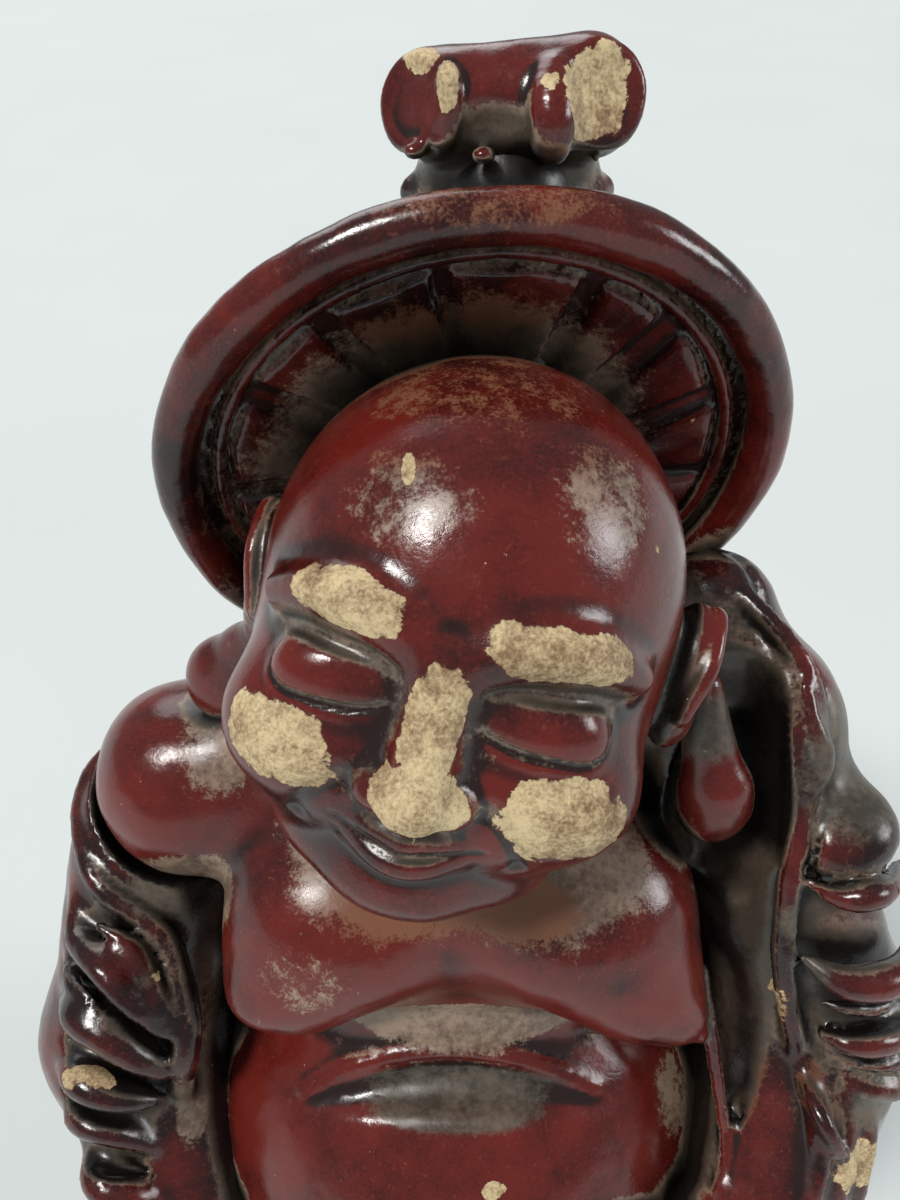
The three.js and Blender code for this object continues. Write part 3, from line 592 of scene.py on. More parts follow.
def sculpt_edges(clay):
    """The rolled edges of the robe."""
    right_edge = [
        (-15.4, 4.4, 51.6), (-16.8, 2.6, 51.6), (-17.3, 0.6, 50.8), (-16.4, -1.6, 50.3), (-15.4, -2.8, 49.9),
        (-14.2, -3.4, 49.2), (-12.9, -4.3, 48.1), (-12.2, -5.6, 47.2), (-11.8, -6.8, 46.3), (-11.9, -7.9, 45),
        (-12.4, -8.2, 43), (-13, -8.4, 40), (-13.6, -8.2, 36), (-13.6, -8.2, 32), (-11.2, -8.6, 26), (-6, -11, 21.4),
    ]
    clay.lay(tube(winding(right_edge), swelling(0.4, 0.62)), 0.35)
    collar = [
        (9.8, 6, 61), (11.4, 4, 61), (13, 2, 60.2), (13.8, 0.4, 58.6), (13.7, -1.2, 56.6), (13.4, -3, 54.2),
        (13.2, -5.2, 50.8), (13.8, -7, 47.6), (15, -8.6, 44),
    ]
    clay.lay(tube(winding(collar), swelling(0.45, 0.52)), 0.3)
    hem = [(x + 0.85, y + 0.4, z + 0.2) for x, y, z in collar]
    clay.carve(tube(on_skin(clay, winding(hem)), even(0.16)), 0.3)
    curl = [(13.2, 0.6, 59.7), (13.5, -0.5, 58.6), (13.9, -1, 57.8), (14, -1.5, 57), (13.6, -2.2, 56.2)]
    clay.lay(tube(winding(curl), swelling(0.2, 0.5)), 0.25)
    # The lapel hangs as a thin rope, with a hollow on each side.
    left_edge = [
        (10.1, -5.8, 48.8), (10.5, -7.1, 46.9), (10.95, -8.3, 45), (11.5, -9.8, 42.6), (11.6, -11.1, 41.3),
        (11.2, -12, 40.3), (12.4, -10.6, 35), (13, -8.8, 30), (11.2, -8.8, 26), (6, -11, 21.4),
    ]
    beside = [(x + 0.75, y + 0.1, z - 0.1) for x, y, z in left_edge[:4]]
    clay.carve(tube(winding(beside), swelling(0.15, 0.35)), 0.3)
    clay.lay(tube(winding(left_edge), even(0.34)), 0.15)


def sculpt_whole_torso(clay):
    sculpt_torso(clay)


def sculpt_whole_robe(clay):
    sculpt_robe(clay)
    sculpt_arms(clay)
    open_gaps(clay)
    sculpt_edges(clay)


def sculpt_right_hand(clay):
    sculpt_hand(clay, HAND_RIGHT, -1)


def sculpt_left_hand(clay):
    sculpt_hand(clay, HAND_LEFT, 1)


def sculpt_sack(clay):
    clay.lay(ellipsoid(SACK["centre"], SACK["radii"]), 1.2)
    mouth = vec(*KNOT["mouth"])
    clay.lay(tube(bent((0.6, 11.4, 57), (1, 12, 67), mouth, 14), tapered(6.4, 2.4)), 2)
    for i in np.arange(0, SACK["folds"] - 0.5, 0.5):
        turn = math.radians(mix(-80, 80, i / (SACK["folds"] - 1)))
        out = vec(math.sin(turn), math.cos(turn), 0)
        whole = i == int(i)
        start = mouth + 2 * out
        via = vec(0.8, 11.6, 64) + 5.2 * out
        end = vec(0.4, 10.4, 50 + 3 * math.cos(3 * turn)) + vec(12 * out[0], 5.7 * out[1], 0)
        if whole:
            clay.lay(tube(bent(start, via, end, 16), swelling(0.35, 0.9)), 0.6)
        else:
            clay.carve(tube(bent(start, via + 0.4 * out, mix(via, end, 0.7), 14), swelling(0.1, 0.3)), 0.3)


def sculpt_knot(clay):
    """The sack's knotted mouth, which shows above the hat: a thick roll with two cut ends, on a rough neck."""
    mouth, left, right = (vec(*KNOT[k]) for k in ("mouth", "left", "right"))
    clay.lay(ellipsoid(mouth + vec(0, 0.2, 0.4), (3, 2, 2.4)), 0.6)
    clay.lay(tube(bent(left, mix(left, right, 0.5) + vec(0, 0.2, -0.1), right, 14), tapered(1.5, 1.68)), 0.4)
    clay.lay(tube(bent(mouth + vec(-3, 0.4, 0), mouth + vec(0, -4.4, -0.2), mouth + vec(3.1, 0.4, 0.1), 14), even(0.45)), 0.5)
    # The cut ends, which face forward and outward, each inside a rolled lip.
    for end, towards, cut, reach in ((left, (-0.7, -0.65, 0.3), 0.8, 1.2), (right, (0.32, -0.88, 0.35), 0.98, 1.36)):
        normal = vec(*towards) / np.linalg.norm(towards)
        clay.carve(ellipsoid(end + (cut + 9) * normal, (9, 9, 9)), 0.12)
        side = np.cross(normal, vec(0, 0, 1))
        side /= np.linalg.norm(side)
        rise = np.cross(side, normal)
        lip = []
        for turn in np.linspace(-2.6, 0.9, 16):
            lip.append(end + (cut - 0.1) * normal + reach * (math.cos(turn) * side * np.sign(-end[0]) + math.sin(turn) * rise))
        clay.lay(tube(lip, swelling(0.08, 0.24)), 0.15)
    # A fold bulges forward beside the right end, and the cloth sinks between it and the left end.
    clay.lay(tube(bent((2.5, 6.9, 78.9), (2.3, 5.7, 77.9), (2.6, 6.3, 76.7), 12), swelling(0.4, 0.75)), 0.35)
    clay.carve(ellipsoid((0.7, 6, 77.5), (1.1, 0.7, 0.9)), 0.4)
    clay.carve(tube(bent((3.1, 6.6, 79), (3.2, 5.9, 77.8), (3, 6, 76.8), 12), even(0.16)), 0.2)
    clay.lay(tube(bent(left + vec(0.5, -1.2, 1.1), left + vec(0.9, -1.7, 0), left + vec(0, -1.3, -1.4), 12), even(0.26)), 0.25)
    # The torn hollow in front of the neck.
    clay.carve(tube(bent((-1.8, 6.6, 76.6), (1.2, 5.6, 76.3), (4.2, 6.6, 76.4), 12), swelling(0.3, 0.62)), 0.35)
    for i in range(9):
        x = mix(-1.5, 3.9, i / 8)
        z = 76.9 + 0.3 * math.sin(2.1 * i)
        knob = 0.22 + 0.12 * math.sin(4.3 * i + 1)
        clay.lay(ellipsoid((x, 6.5 - 0.25 * math.cos(x - 1.2), z), (knob, knob, 0.7 * knob)), 0.25)
        clay.carve(ellipsoid((x + 0.3, 6.3 - 0.3 * math.cos(x - 1.2), z - 0.75), (0.3, 0.4, 0.22)), 0.2)


def sculpt_head(clay):
    """The head, in its own frame: face towards -Y, crown up."""
    def lay(form, blend):
        clay.lay(form, blend)

    def lump(centre, radii, blend):
        clay.lay(ellipsoid(centre, radii, ON_HEAD), blend)

    def dent(centre, radii, blend):
        clay.carve(ellipsoid(centre, radii, ON_HEAD), blend)

    def ridge(points, radius_at, blend):
        clay.lay(tube(points, radius_at, ON_HEAD), blend)

    def groove(points, radius_at, blend):
        path = on_skin(clay, ON_HEAD.point(points))
        clay.carve(tube(path, lambda t: HEAD["scale"] * radius_at(t)), blend)

    lump((0, 0.6, 1.5), (7.5, 7.7, 8.1), 0.4)
    lump((0, -0.7, -3.2), (7.1, 6.6, 5.8), 2)
    lump((0, -2.4, -7), (5, 4, 2), 1.2)
    for side in SIDES:
        lump((side * 4, -4.3, -2.9), (3, 2.7, 2.5), 1.4)
    lump((0, -5.3, -7), (2.1, 1.6, 1.3), 1.2)

    for side in SIDES:
        def s(x, y, z):
            return (side * x, y, z)

        # A shallow socket under a soft brow, and a closed lid that fills it.
        dent(s(3.1, -7.75, 0), (2.1, 0.95, 1), 1.3)
        ridge(bent(s(0.9, -6.7, 1.7), s(3.2, -7.3, 3.3), s(5.8, -4.7, 1.5), 14), swelling(0.3, 0.62), 1.1)
        lump(s(3.1, -5.95, -0.2), (2.05, 1.1, 1.2), 0.8)
        # The lids meet in one gentle curve, with a soft crease above.
        groove(bent(s(1.3, -6.75, -0.3), s(3.1, -7.95, -1.35), s(5.1, -5.4, -0.3), 20), swelling(0.06, 0.2), 0.14)
        groove(bent(s(1.4, -6.75, 0.8), s(3.1, -7.55, 1.4), s(5.1, -5.1, 0.75), 14), swelling(0.06, 0.15), 0.35)
    ridge(bent((0, -6.5, 1.4), (0, -7.1, -0.4), (0, -8, -2.5), 14), tapered(0.65, 1), 0.8)
    lump((0, -8.1, -2.6), (0.95, 0.8, 0.75), 0.5)
    for side in SIDES:
        lump((side * 1.15, -7.35, -2.8), (0.75, 0.9, 0.62), 0.4)
        dent((side * 0.55, -7.85, -3.34), (0.26, 0.34, 0.18), 0.2)
        # The soft line from the nose past the corner of the mouth.
        groove(bent((side * 2.3, -6.9, -3), (side * 3.5, -6.9, -3.8), (side * 3.6, -6.2, -4.9), 12), swelling(0.05, 0.14), 0.7)
    # The mouth is closed, with full lips and its corners a little up.
    groove(straight((0, -7.45, -3.6), (0, -7.35, -4)), even(0.18), 0.4)
    for side in SIDES:
        ridge(bent((0, -7.25, -4.4), (side * 1, -7.3, -4.35), (side * 2.1, -6.45, -4.6), 12), tapered(0.42, 0.2), 0.4)
    ridge(bent((-1.6, -6.6, -5.1), (0, -7.65, -5.55), (1.6, -6.6, -5.1), 14), swelling(0.3, 0.55), 0.5)
    groove(bent((-2.5, -6.85, -4.45), (0, -8.35, -5.2), (2.5, -6.85, -4.45), 20), swelling(0.06, 0.2), 0.15)
    sculpt_ears(clay)


def sculpt_ears(clay):
    """Each ear is a curled flap on the side of the head, with a long drop of a lobe that hangs straight down."""
    for side, out in zip(SIDES, (-0.45, 0.4)):
        def s(x, y, z):
            return (side * (x + out), y, z)

        clay.lay(ellipsoid(s(7.9, 1, -0.2), (1.1, 1.9, 2.9), ON_HEAD), 0.5)
        clay.carve(ellipsoid(s(9, 0.4, -0.1), (0.7, 1, 1.8), ON_HEAD), 0.3)
        rim = [(8, -0.8, -1), (8.4, -0.6, 1), (8.5, 0.9, 2.4), (8.4, 2.2, 1.4), (8.2, 2.3, -0.8), (8, 1.4, -2.2)]
        clay.lay(tube(winding([s(*q) for q in rim]), even(0.34), ON_HEAD), 0.25)
        inner = [(8.1, 0.3, 1.2), (8.3, 1.2, 0.4), (8.1, 0.9, -1.2)]
        clay.lay(tube(winding([s(*q) for q in inner]), even(0.24), ON_HEAD), 0.3)
    stems = (
        [(-7.7, 1.4, 61.6), (-8.6, 1.8, 60.4), (-9.4, 2, 58.6)],
        [(9.1, 0.1, 60.2), (9.4, -0.6, 58.6), (9.9, -1.5, 56.6)],
    )
    lobes = ((-9.6, 2, 58.3), (10.1, -1.8, 55.4))
    for stem, lobe in zip(stems, lobes):
        clay.lay(tube(winding(stem, 8), tapered(0.7, 1.2)), 0.6)
        clay.lay(ellipsoid(lobe, (1.5, 1.4, 2.1)), 0.7)


def hat_form():
    place = Place(HAT["centre"], pitch=180 + HAT["lean"], yaw=HAT["turn"])
    radius, bead, thick, dish = (HAT[k] for k in ("radius", "bead", "thickness", "dish"))
    hub_x, hub_z = SLATS["hub"]
    ring_at = radius - bead
    slats_end = ring_at - 1.75

    def distance(x, y, z):
        x, y, z = x - place.centre[0], y - place.centre[1], z - place.centre[2]
        turn = place.turn
        across = turn[0, 0] * x + turn[1, 0] * y + turn[2, 0] * z
        ahead = turn[0, 1] * x + turn[1, 1] * y + turn[2, 1] * z
        up = turn[0, 2] * x + turn[1, 2] * y + turn[2, 2] * z
        out = np.sqrt(across ** 2 + up ** 2)
        angle = np.arctan2(across, up)
        front = mix(-dish, -0.75, np.clip(out / slats_end, 0, 1))
        # The hollow is lined with broad slats, each a little bulged, with flat grooves between them.
        from_hub = np.sqrt((across - hub_x) ** 2 + (up - hub_z) ** 2)
        fan = np.arctan2(across - hub_x, up - hub_z) * SLATS["count"] / (2 * math.pi)
        uneven = 0.07 * np.sin(5 * angle) + 0.05 * np.sin(9 * angle + 1)
        aside = np.abs(fan + uneven - np.floor(fan + uneven) - 0.5)
        pitch = 2 * math.pi * from_hub / SLATS["count"]
        to_groove = (0.5 - aside) * pitch - SLATS["groove"] * (1 + 0.4 * np.sin(3 * angle + 1))
        ends = slats_end - 0.12 * np.abs(np.sin(SLATS["count"] * angle / 2)) - out
        slat = smooth(0, 0.3, to_groove) * smooth(0, 0.3, ends)
        bulge = 0.16 * smooth(0, 1.6, to_groove)
        front = front + slat * (SLATS["height"] + bulge) * smooth(0.5, 3, from_hub)
        back = mix(-dish - thick - 1.2, -thick + 0.4, np.clip(out / ring_at, 0, 1) ** 1.2)
        back = back - 0.1 * np.cos(34 * angle) * smooth(4.5, 6, out) * smooth(ring_at, ring_at - 1, out)
        shell = np.maximum(np.maximum(ahead - front, back - ahead), out - ring_at) * 0.85
        rim = np.sqrt((out - ring_at) ** 2 + ahead ** 2)
        rim = rim - bead * (1 + 0.05 * np.sin(5 * angle) + 0.03 * np.sin(11 * angle + 2))
        line = np.sqrt((out - ring_at + 1.42) ** 2 + (ahead + 0.5) ** 2) - 0.26
        groove = np.sqrt((out - ring_at + 1.0) ** 2 + (ahead + 0.35) ** 2) - 0.2
        solid = soft_min(soft_min(shell, rim, 0.15), line, 0.12)
        return -soft_min(-solid, groove, 0.15)

    reach = np.full(3, radius + 0.6)
    return Form(place.centre - reach, place.centre + reach, distance)


def sculpt_hat(clay):
    clay.lay(hat_form(), 0.05)
    # A small crown shows at the back, inside a stitched line.
    back = Place(HAT["centre"], pitch=180 + HAT["lean"], yaw=HAT["turn"])
    clay.lay(ellipsoid((0, -HAT["dish"] - 1.4, 0), (4.2, 2.2, 4.2), back), 0.6)


# From clay to mesh

def noise(points, pitch, seed):
    """Smooth noise from -1 to 1 with features of the given pitch."""
    table = np.random.default_rng(seed).random((32, 32, 32)) * 2 - 1
    g = points / pitch + 1000.5
    i = np.floor(g).astype(int)
    f = g - i
    f = f * f * (3 - 2 * f)
    out = np.zeros(len(points))
    for dx in (0, 1):
        for dy in (0, 1):
            for dz in (0, 1):
                w = np.abs(1 - dx - f[:, 0]) * np.abs(1 - dy - f[:, 1]) * np.abs(1 - dz - f[:, 2])
                out += w * table[(i[:, 0] + dx) % 32, (i[:, 1] + dy) % 32, (i[:, 2] + dz) % 32]
    return out


def patch(points, centre, radii, place=WORLD):
    """From 1 in the middle of an ellipsoid, through 0 at its surface, to below 0 outside."""
    q = (place.local(points) - vec(*centre)) / vec(*radii)
    return 1 - np.sqrt((q ** 2).sum(1))


# Where the coat has worn through to the tan resin: centre and radii, their frame, and how fully.
WORN = [
    ((3.3, -6.7, 2.4), (2.6, 1.8, 1), ON_HEAD, 0.8),
    ((-3.2, -6.7, 2.5), (2.3, 1.7, 1), ON_HEAD, 0.8),
    ((0.05, -7.6, -0.2), (1, 1.5, 2.2), ON_HEAD, 0.8),
    ((0.1, -8.2, -2.4), (1.7, 1.5, 1.1), ON_HEAD, 0.9),
    ((-4.2, -6.2, -2.5), (2.4, 1.8, 1.5), ON_HEAD, 0.9),
    ((4.3, -6.1, -2.8), (2.4, 1.9, 1.7), ON_HEAD, 0.9),
    ((3.9, 6.2, 78.6), (1.3, 1.9, 1.6), WORLD, 1),
    ((-0.5, 6.6, 78.7), (0.4, 0.9, 1), WORLD, 0.8),
    ((-1.5, 7.4, 79.2), (0.8, 0.8, 0.5), WORLD, 0.4),
    ((2.3, 5.9, 79), (0.5, 0.6, 0.4), WORLD, 0.3),
    ((-15.9, -8.6, 44.4), (1.7, 0.7, 0.35), WORLD, 0.8),
    ((-14, -5.9, 48.3), (1.6, 0.4, 0.3), WORLD, 0.4),
    ((17.3, -12, 43.3), (1.9, 1.6, 1.6), WORLD, 1),
    ((13.3, -6.6, 48.2), (0.6, 1.4, 1.4), WORLD, 0.45),
    ((1.3, -12.5, 43), (0.6, 0.5, 0.35), WORLD, 0.5),
    ((-1.6, -1.4, 71.2), (0.2, 0.6, 0.6), WORLD, 0.5),
    ((5.5, -1.8, 68.7), (0.3, 0.5, 0.4), WORLD, 0.4),
]
# Where a dusty film lies over the coat.
FILM = [
    ((0.6, -4, 55.6), (9.4, 5.4, 4), WORLD, 1),
    ((-6, -7.4, 51.8), (2.4, 1.8, 2), WORLD, 0.3),
    ((0, -7.4, 46.9), (9.6, 2.2, 1.35), WORLD, 1),
    ((-12.2, -8.4, 39.6), (0.9, 2.2, 6), WORLD, 1),
    ((9.9, -8.4, 41.4), (1.6, 2.4, 3.4), WORLD, 0.5),
    ((-11, -3.4, 51.3), (3.6, 2.2, 2.1), WORLD, 0.9),
    ((-9.6, 0.4, 56), (2.6, 3, 2.2), WORLD, 0.6),
    ((0.5, 2, 71.6), (5, 3.6, 2.6), WORLD, 0.3),
    ((4, -1.6, 70.4), (2.2, 2.6, 2.4), WORLD, 0.4),
    ((-1.5, -2, 70.8), (2.6, 2.4, 1.6), WORLD, 0.35),
    ((1, 3.8, 76.7), (7, 1.8, 1.2), WORLD, 0.3),
    ((1.2, 6.4, 75.5), (3.6, 1.6, 0.75), WORLD, 1),
]
# Where that film is warm and brown instead of grey.
WARM = [
    ((-0.6, -5.6, 53.8), (5.4, 2.2, 1.5), WORLD, 1),
    ((0.5, 2.2, 71.6), (6, 4, 3.4), WORLD, 1),
    ((1, 3.8, 76.5), (7, 2.4, 1.6), WORLD, 1),
    ((14, -10.5, 44), (2, 3, 4), WORLD, 1),
]
# Where the painted shade and dark wash from the hollow measure are lightened on the torso, beside the robe's edges.
LIGHTER_HOLLOW_SHADE = [
    ((-11.6, -9, 40.4), (3, 3.6, 6.4), WORLD, 1),
    ((10.8, -9.4, 41), (2.6, 3.4, 5.4), WORLD, 0.8),
]
# Where the film is olive, and thick enough to dull the gloss.
OLIVE = [
    ((-0.3, -9.7, 44.9), (6.4, 1.5, 1.1), WORLD, 1),
    ((-12.4, -2.6, 49.6), (3.4, 1.6, 1.2), WORLD, 0.8),
    ((-15.4, -7, 46), (2.6, 1.2, 1), WORLD, 0.7),
    ((-15.8, -9, 43.4), (3, 1.2, 0.7), WORLD, 0.6),
    ((-14.5, -6, 48.4), (2, 0.8, 0.5), WORLD, 0.6),
    ((15.6, -5.4, 51.8), (3.6, 2, 1.3), WORLD, 0.9),
    ((14.2, -5.4, 50.4), (1, 2, 3), WORLD, 0.7),
    ((17.6, -9, 44), (3, 2, 1.4), WORLD, 0.6),
    ((16, -1, 57), (3.4, 3.6, 4), WORLD, 0.7),
    ((9.4, -0.6, 58.6), (1.4, 1.6, 2.2), WORLD, 0.8),
    ((1.2, 6.4, 75.5), (3.6, 1.6, 0.75), WORLD, 0.5),
]


def strongest(points, patches):
    values = np.full(len(points), -1.0)
    for centre, radii, place, strength in patches:
        values = np.maximum(values, np.minimum(patch(points, centre, radii, place) * 2, 1) * strength)
    return values


def add_attribute(mesh, name, values):
    attribute = mesh.attributes.new(name, "FLOAT", "POINT")
    attribute.data.foreach_set("value", np.ascontiguousarray(values, np.float32))


def mesh_from(name, points, faces):
    mesh = bpy.data.meshes.new(name)
    mesh.vertices.add(len(points))
    mesh.vertices.foreach_set("co", (points * MM).astype(np.float32).ravel())
    mesh.loops.add(faces.size)
    mesh.loops.foreach_set("vertex_index", faces.ravel().astype(np.int32))
    mesh.polygons.add(len(faces))
    mesh.polygons.foreach_set("loop_start", np.arange(0, faces.size, faces.shape[1], dtype=np.int32))
    mesh.update(calc_edges=True)
    mesh.polygons.foreach_set("use_smooth", np.ones(len(faces), bool))
    return mesh


def bend(clay, points, reach):
    """How much the surface bends at each point: above 0 on a ridge, below 0 in a crease."""
    total = -6 * clay.sample(points)
    for axis in range(3):
        for side in SIDES:
            shift = np.zeros(3)
            shift[axis] = side * reach
            total += clay.sample(points + shift)
    return total / reach


def weather(name, mesh, points, normals, whole, clay=None, openness=1.0, tone=1.0, dusting=1.0, spread=1.0):
    """Writes what the material reads at each vertex: how hollow, how raised and how worn the place is. From how hollow
    a place is, the material paints shade (over a real dark wash) and dust.
    """
    # How hollow: how closely the whole figure hems each place in, along its normal. The material turns it into painted
    # shade, partly a real dark wash.
    hollow = np.zeros(len(points))
    for reach, weight in ((0.8, 0.2), (1.6, 0.3), (2.8, 0.3), (4.2, 0.2)):
        reach = reach * spread
        gap = whole.sample(points + reach * normals)
        hollow += weight * openness * np.clip(1 - gap / reach, 0, 1.2)
    if name == "torso":
        # Lightens the painted hollow shade at the belly's sides.
        hollow -= 0.6 * np.clip(strongest(points, LIGHTER_HOLLOW_SHADE), 0, 1)
    add_attribute(mesh, "hollow", hollow)
    for key, patches in (("worn", WORN), ("film", FILM), ("warm", WARM), ("olive", OLIVE)):
        add_attribute(mesh, key, strongest(points, patches))
    add_attribute(mesh, "tone", np.full(len(points), tone))
    add_attribute(mesh, "dusting", np.full(len(points), dusting))
    curve = bend(clay, points, 0.4) if clay else np.zeros(len(points))
    add_attribute(mesh, "curve", np.clip(curve, -1, 1))


def clay_piece(name, low, high, step, sculpt, whole, material, wobble=0.035, openness=1.0, tone=1.0, dusting=1.0, spread=1.0):
    clay = Clay(low, high, step)
    sculpt(clay)
    points, faces = largest_part(*clay.skin())
    normals = clay.slope(points)
    normals /= np.maximum(np.linalg.norm(normals, axis=1), 1e-6)[:, None]
    uneven = wobble * noise(points, 1.7, 3) + 0.5 * wobble * noise(points, 0.7, 4)
    points = points + uneven[:, None] * normals
    mesh = mesh_from(name, points, faces)
    weather(name, mesh, points, normals, whole, clay, openness, tone, dusting, spread)
    piece = bpy.data.objects.new(name, mesh)
    bpy.context.scene.collection.objects.link(piece)
    mesh.materials.append(material)
    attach(piece, "root")
    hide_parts("laughing_buddha")
    print(name, len(faces) * 2, "triangles")
    return piece


def plinth_piece(whole, material):
    """An oval slab with eased edges and a step round its foot, as rings of one outline."""
    height, bevel, step_in = PLINTH["height"], PLINTH["bevel"], PLINTH["step_in"]
    wide, deep = PLINTH["half_width"], PLINTH["half_depth"]
    step_at = height * 0.55
    rows = []  # inset from the edge, and height
    for t in np.linspace(0, 0.5 * math.pi, 8):
        rows.append((bevel * (1 - math.sin(t)), bevel * (1 - math.cos(t))))
    for t in np.linspace(0, 0.5 * math.pi, 8):
        rows.append((bevel * (1 - math.cos(t)), step_at - bevel * (1 - math.sin(t))))
    rows.append((step_in, step_at + 0.02))
    for t in np.linspace(0, 0.5 * math.pi, 8):
        rows.append((step_in + bevel * (1 - math.cos(t)), height - bevel * (1 - math.sin(t))))
    for inset in np.linspace(step_in + bevel + 0.6, deep - 0.5, 26):
        rows.append((inset, height))
    around = 360
    turn = np.linspace(0, 2 * math.pi, around, endpoint=False)
    points = []
    for inset, z in rows:
        a, b = wide - inset, deep - inset
        points += [(a * math.cos(t), b * math.sin(t), z) for t in turn]
    points = np.array(points)
    faces = []
    for row in range(len(rows) - 1):
        for i in range(around):
            j = (i + 1) % around
            faces.append((row * around + i, row * around + j, (row + 1) * around + j, (row + 1) * around + i))
    mesh = bpy.data.meshes.new("plinth")
    caps = [tuple(range(around))[::-1], tuple((len(rows) - 1) * around + i for i in range(around))]
    mesh.from_pydata([tuple(p * MM) for p in points], [], faces + caps)
    mesh.update()
    mesh.polygons.foreach_set("use_smooth", np.ones(len(mesh.polygons), bool))
    normals = np.empty(len(points) * 3, np.float32)
    mesh.vertex_normals.foreach_get("vector", normals)
    weather("plinth", mesh, points, normals.reshape(-1, 3), whole)
    piece = bpy.data.objects.new("plinth", mesh)
    bpy.context.scene.collection.objects.link(piece)
    mesh.materials.append(material)
    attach(piece, "root")
    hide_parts("laughing_buddha")
    return piece


# The material

class Nodes:
    """A short way to write a node tree."""

    def __init__(self, name):
        self.material = bpy.data.materials.new(name)
        self.material.use_nodes = True
        self.tree = self.material.node_tree
        self.tree.nodes.clear()
        self.output = self.tree.nodes.new("ShaderNodeOutputMaterial")

    def put(self, socket, value):
        if isinstance(value, bpy.types.NodeSocket):
            self.tree.links.new(value, socket)
        else:
            socket.default_value = value

    def math(self, kind, a, b=0.0, clamp=False):
        node = self.tree.nodes.new("ShaderNodeMath")
        node.operation = kind
        node.use_clamp = clamp
        self.put(node.inputs[0], a)
        self.put(node.inputs[1], b)
        return node.outputs[0]

    def sum(self, *values):
        total = values[0]
        for value in values[1:]:
            total = self.math("ADD", total, value)
        return total

    def times(self, a, b):
        return self.math("MULTIPLY", a, b)

    def centred(self, value):
        """Noise that runs either side of 0, not of a half."""
        return self.math("SUBTRACT", value, 0.5)

    def ramp(self, value, low, high):
        """From 0 at low to 1 at high, eased."""
        node = self.tree.nodes.new("ShaderNodeMapRange")
        node.interpolation_type = "SMOOTHSTEP"
        self.put(node.inputs["Value"], value)
        node.inputs["From Min"].default_value = low
        node.inputs["From Max"].default_value = high
        return node.outputs["Result"]

    def noise(self, size, detail=4.0, roughness=0.55, offset=(0, 0, 0)):
        """Noise with features of the given size in millimetres."""
        where = self.tree.nodes.new("ShaderNodeTexCoord")
        moved = self.tree.nodes.new("ShaderNodeVectorMath")
        moved.operation = "ADD"
        self.put(moved.inputs[0], where.outputs["Object"])
        moved.inputs[1].default_value = offset
        node = self.tree.nodes.new("ShaderNodeTexNoise")
        self.put(node.inputs["Vector"], moved.outputs[0])
        node.inputs["Scale"].default_value = 1 / (size * MM)
        node.inputs["Detail"].default_value = detail
        node.inputs["Roughness"].default_value = roughness
        return node.outputs["Fac"]

    def attribute(self, name):
        node = self.tree.nodes.new("ShaderNodeAttribute")
        node.attribute_name = name
        return node.outputs["Fac"]

    def blend(self, share, a, b):
        node = self.tree.nodes.new("ShaderNodeMix")
        node.data_type = "RGBA"
        self.put(node.inputs[0], share)
        for socket, value in ((node.inputs[6], a), (node.inputs[7], b)):
            self.put(socket, value if isinstance(value, bpy.types.NodeSocket) else (*value, 1))
        return node.outputs[2]

    def bump(self, height, strength, distance, normal=None):
        node = self.tree.nodes.new("ShaderNodeBump")
        node.inputs["Strength"].default_value = strength
        node.inputs["Distance"].default_value = distance * MM
        self.put(node.inputs["Height"], height)
        if normal is not None:
            self.put(node.inputs["Normal"], normal)
        return node.outputs["Normal"]


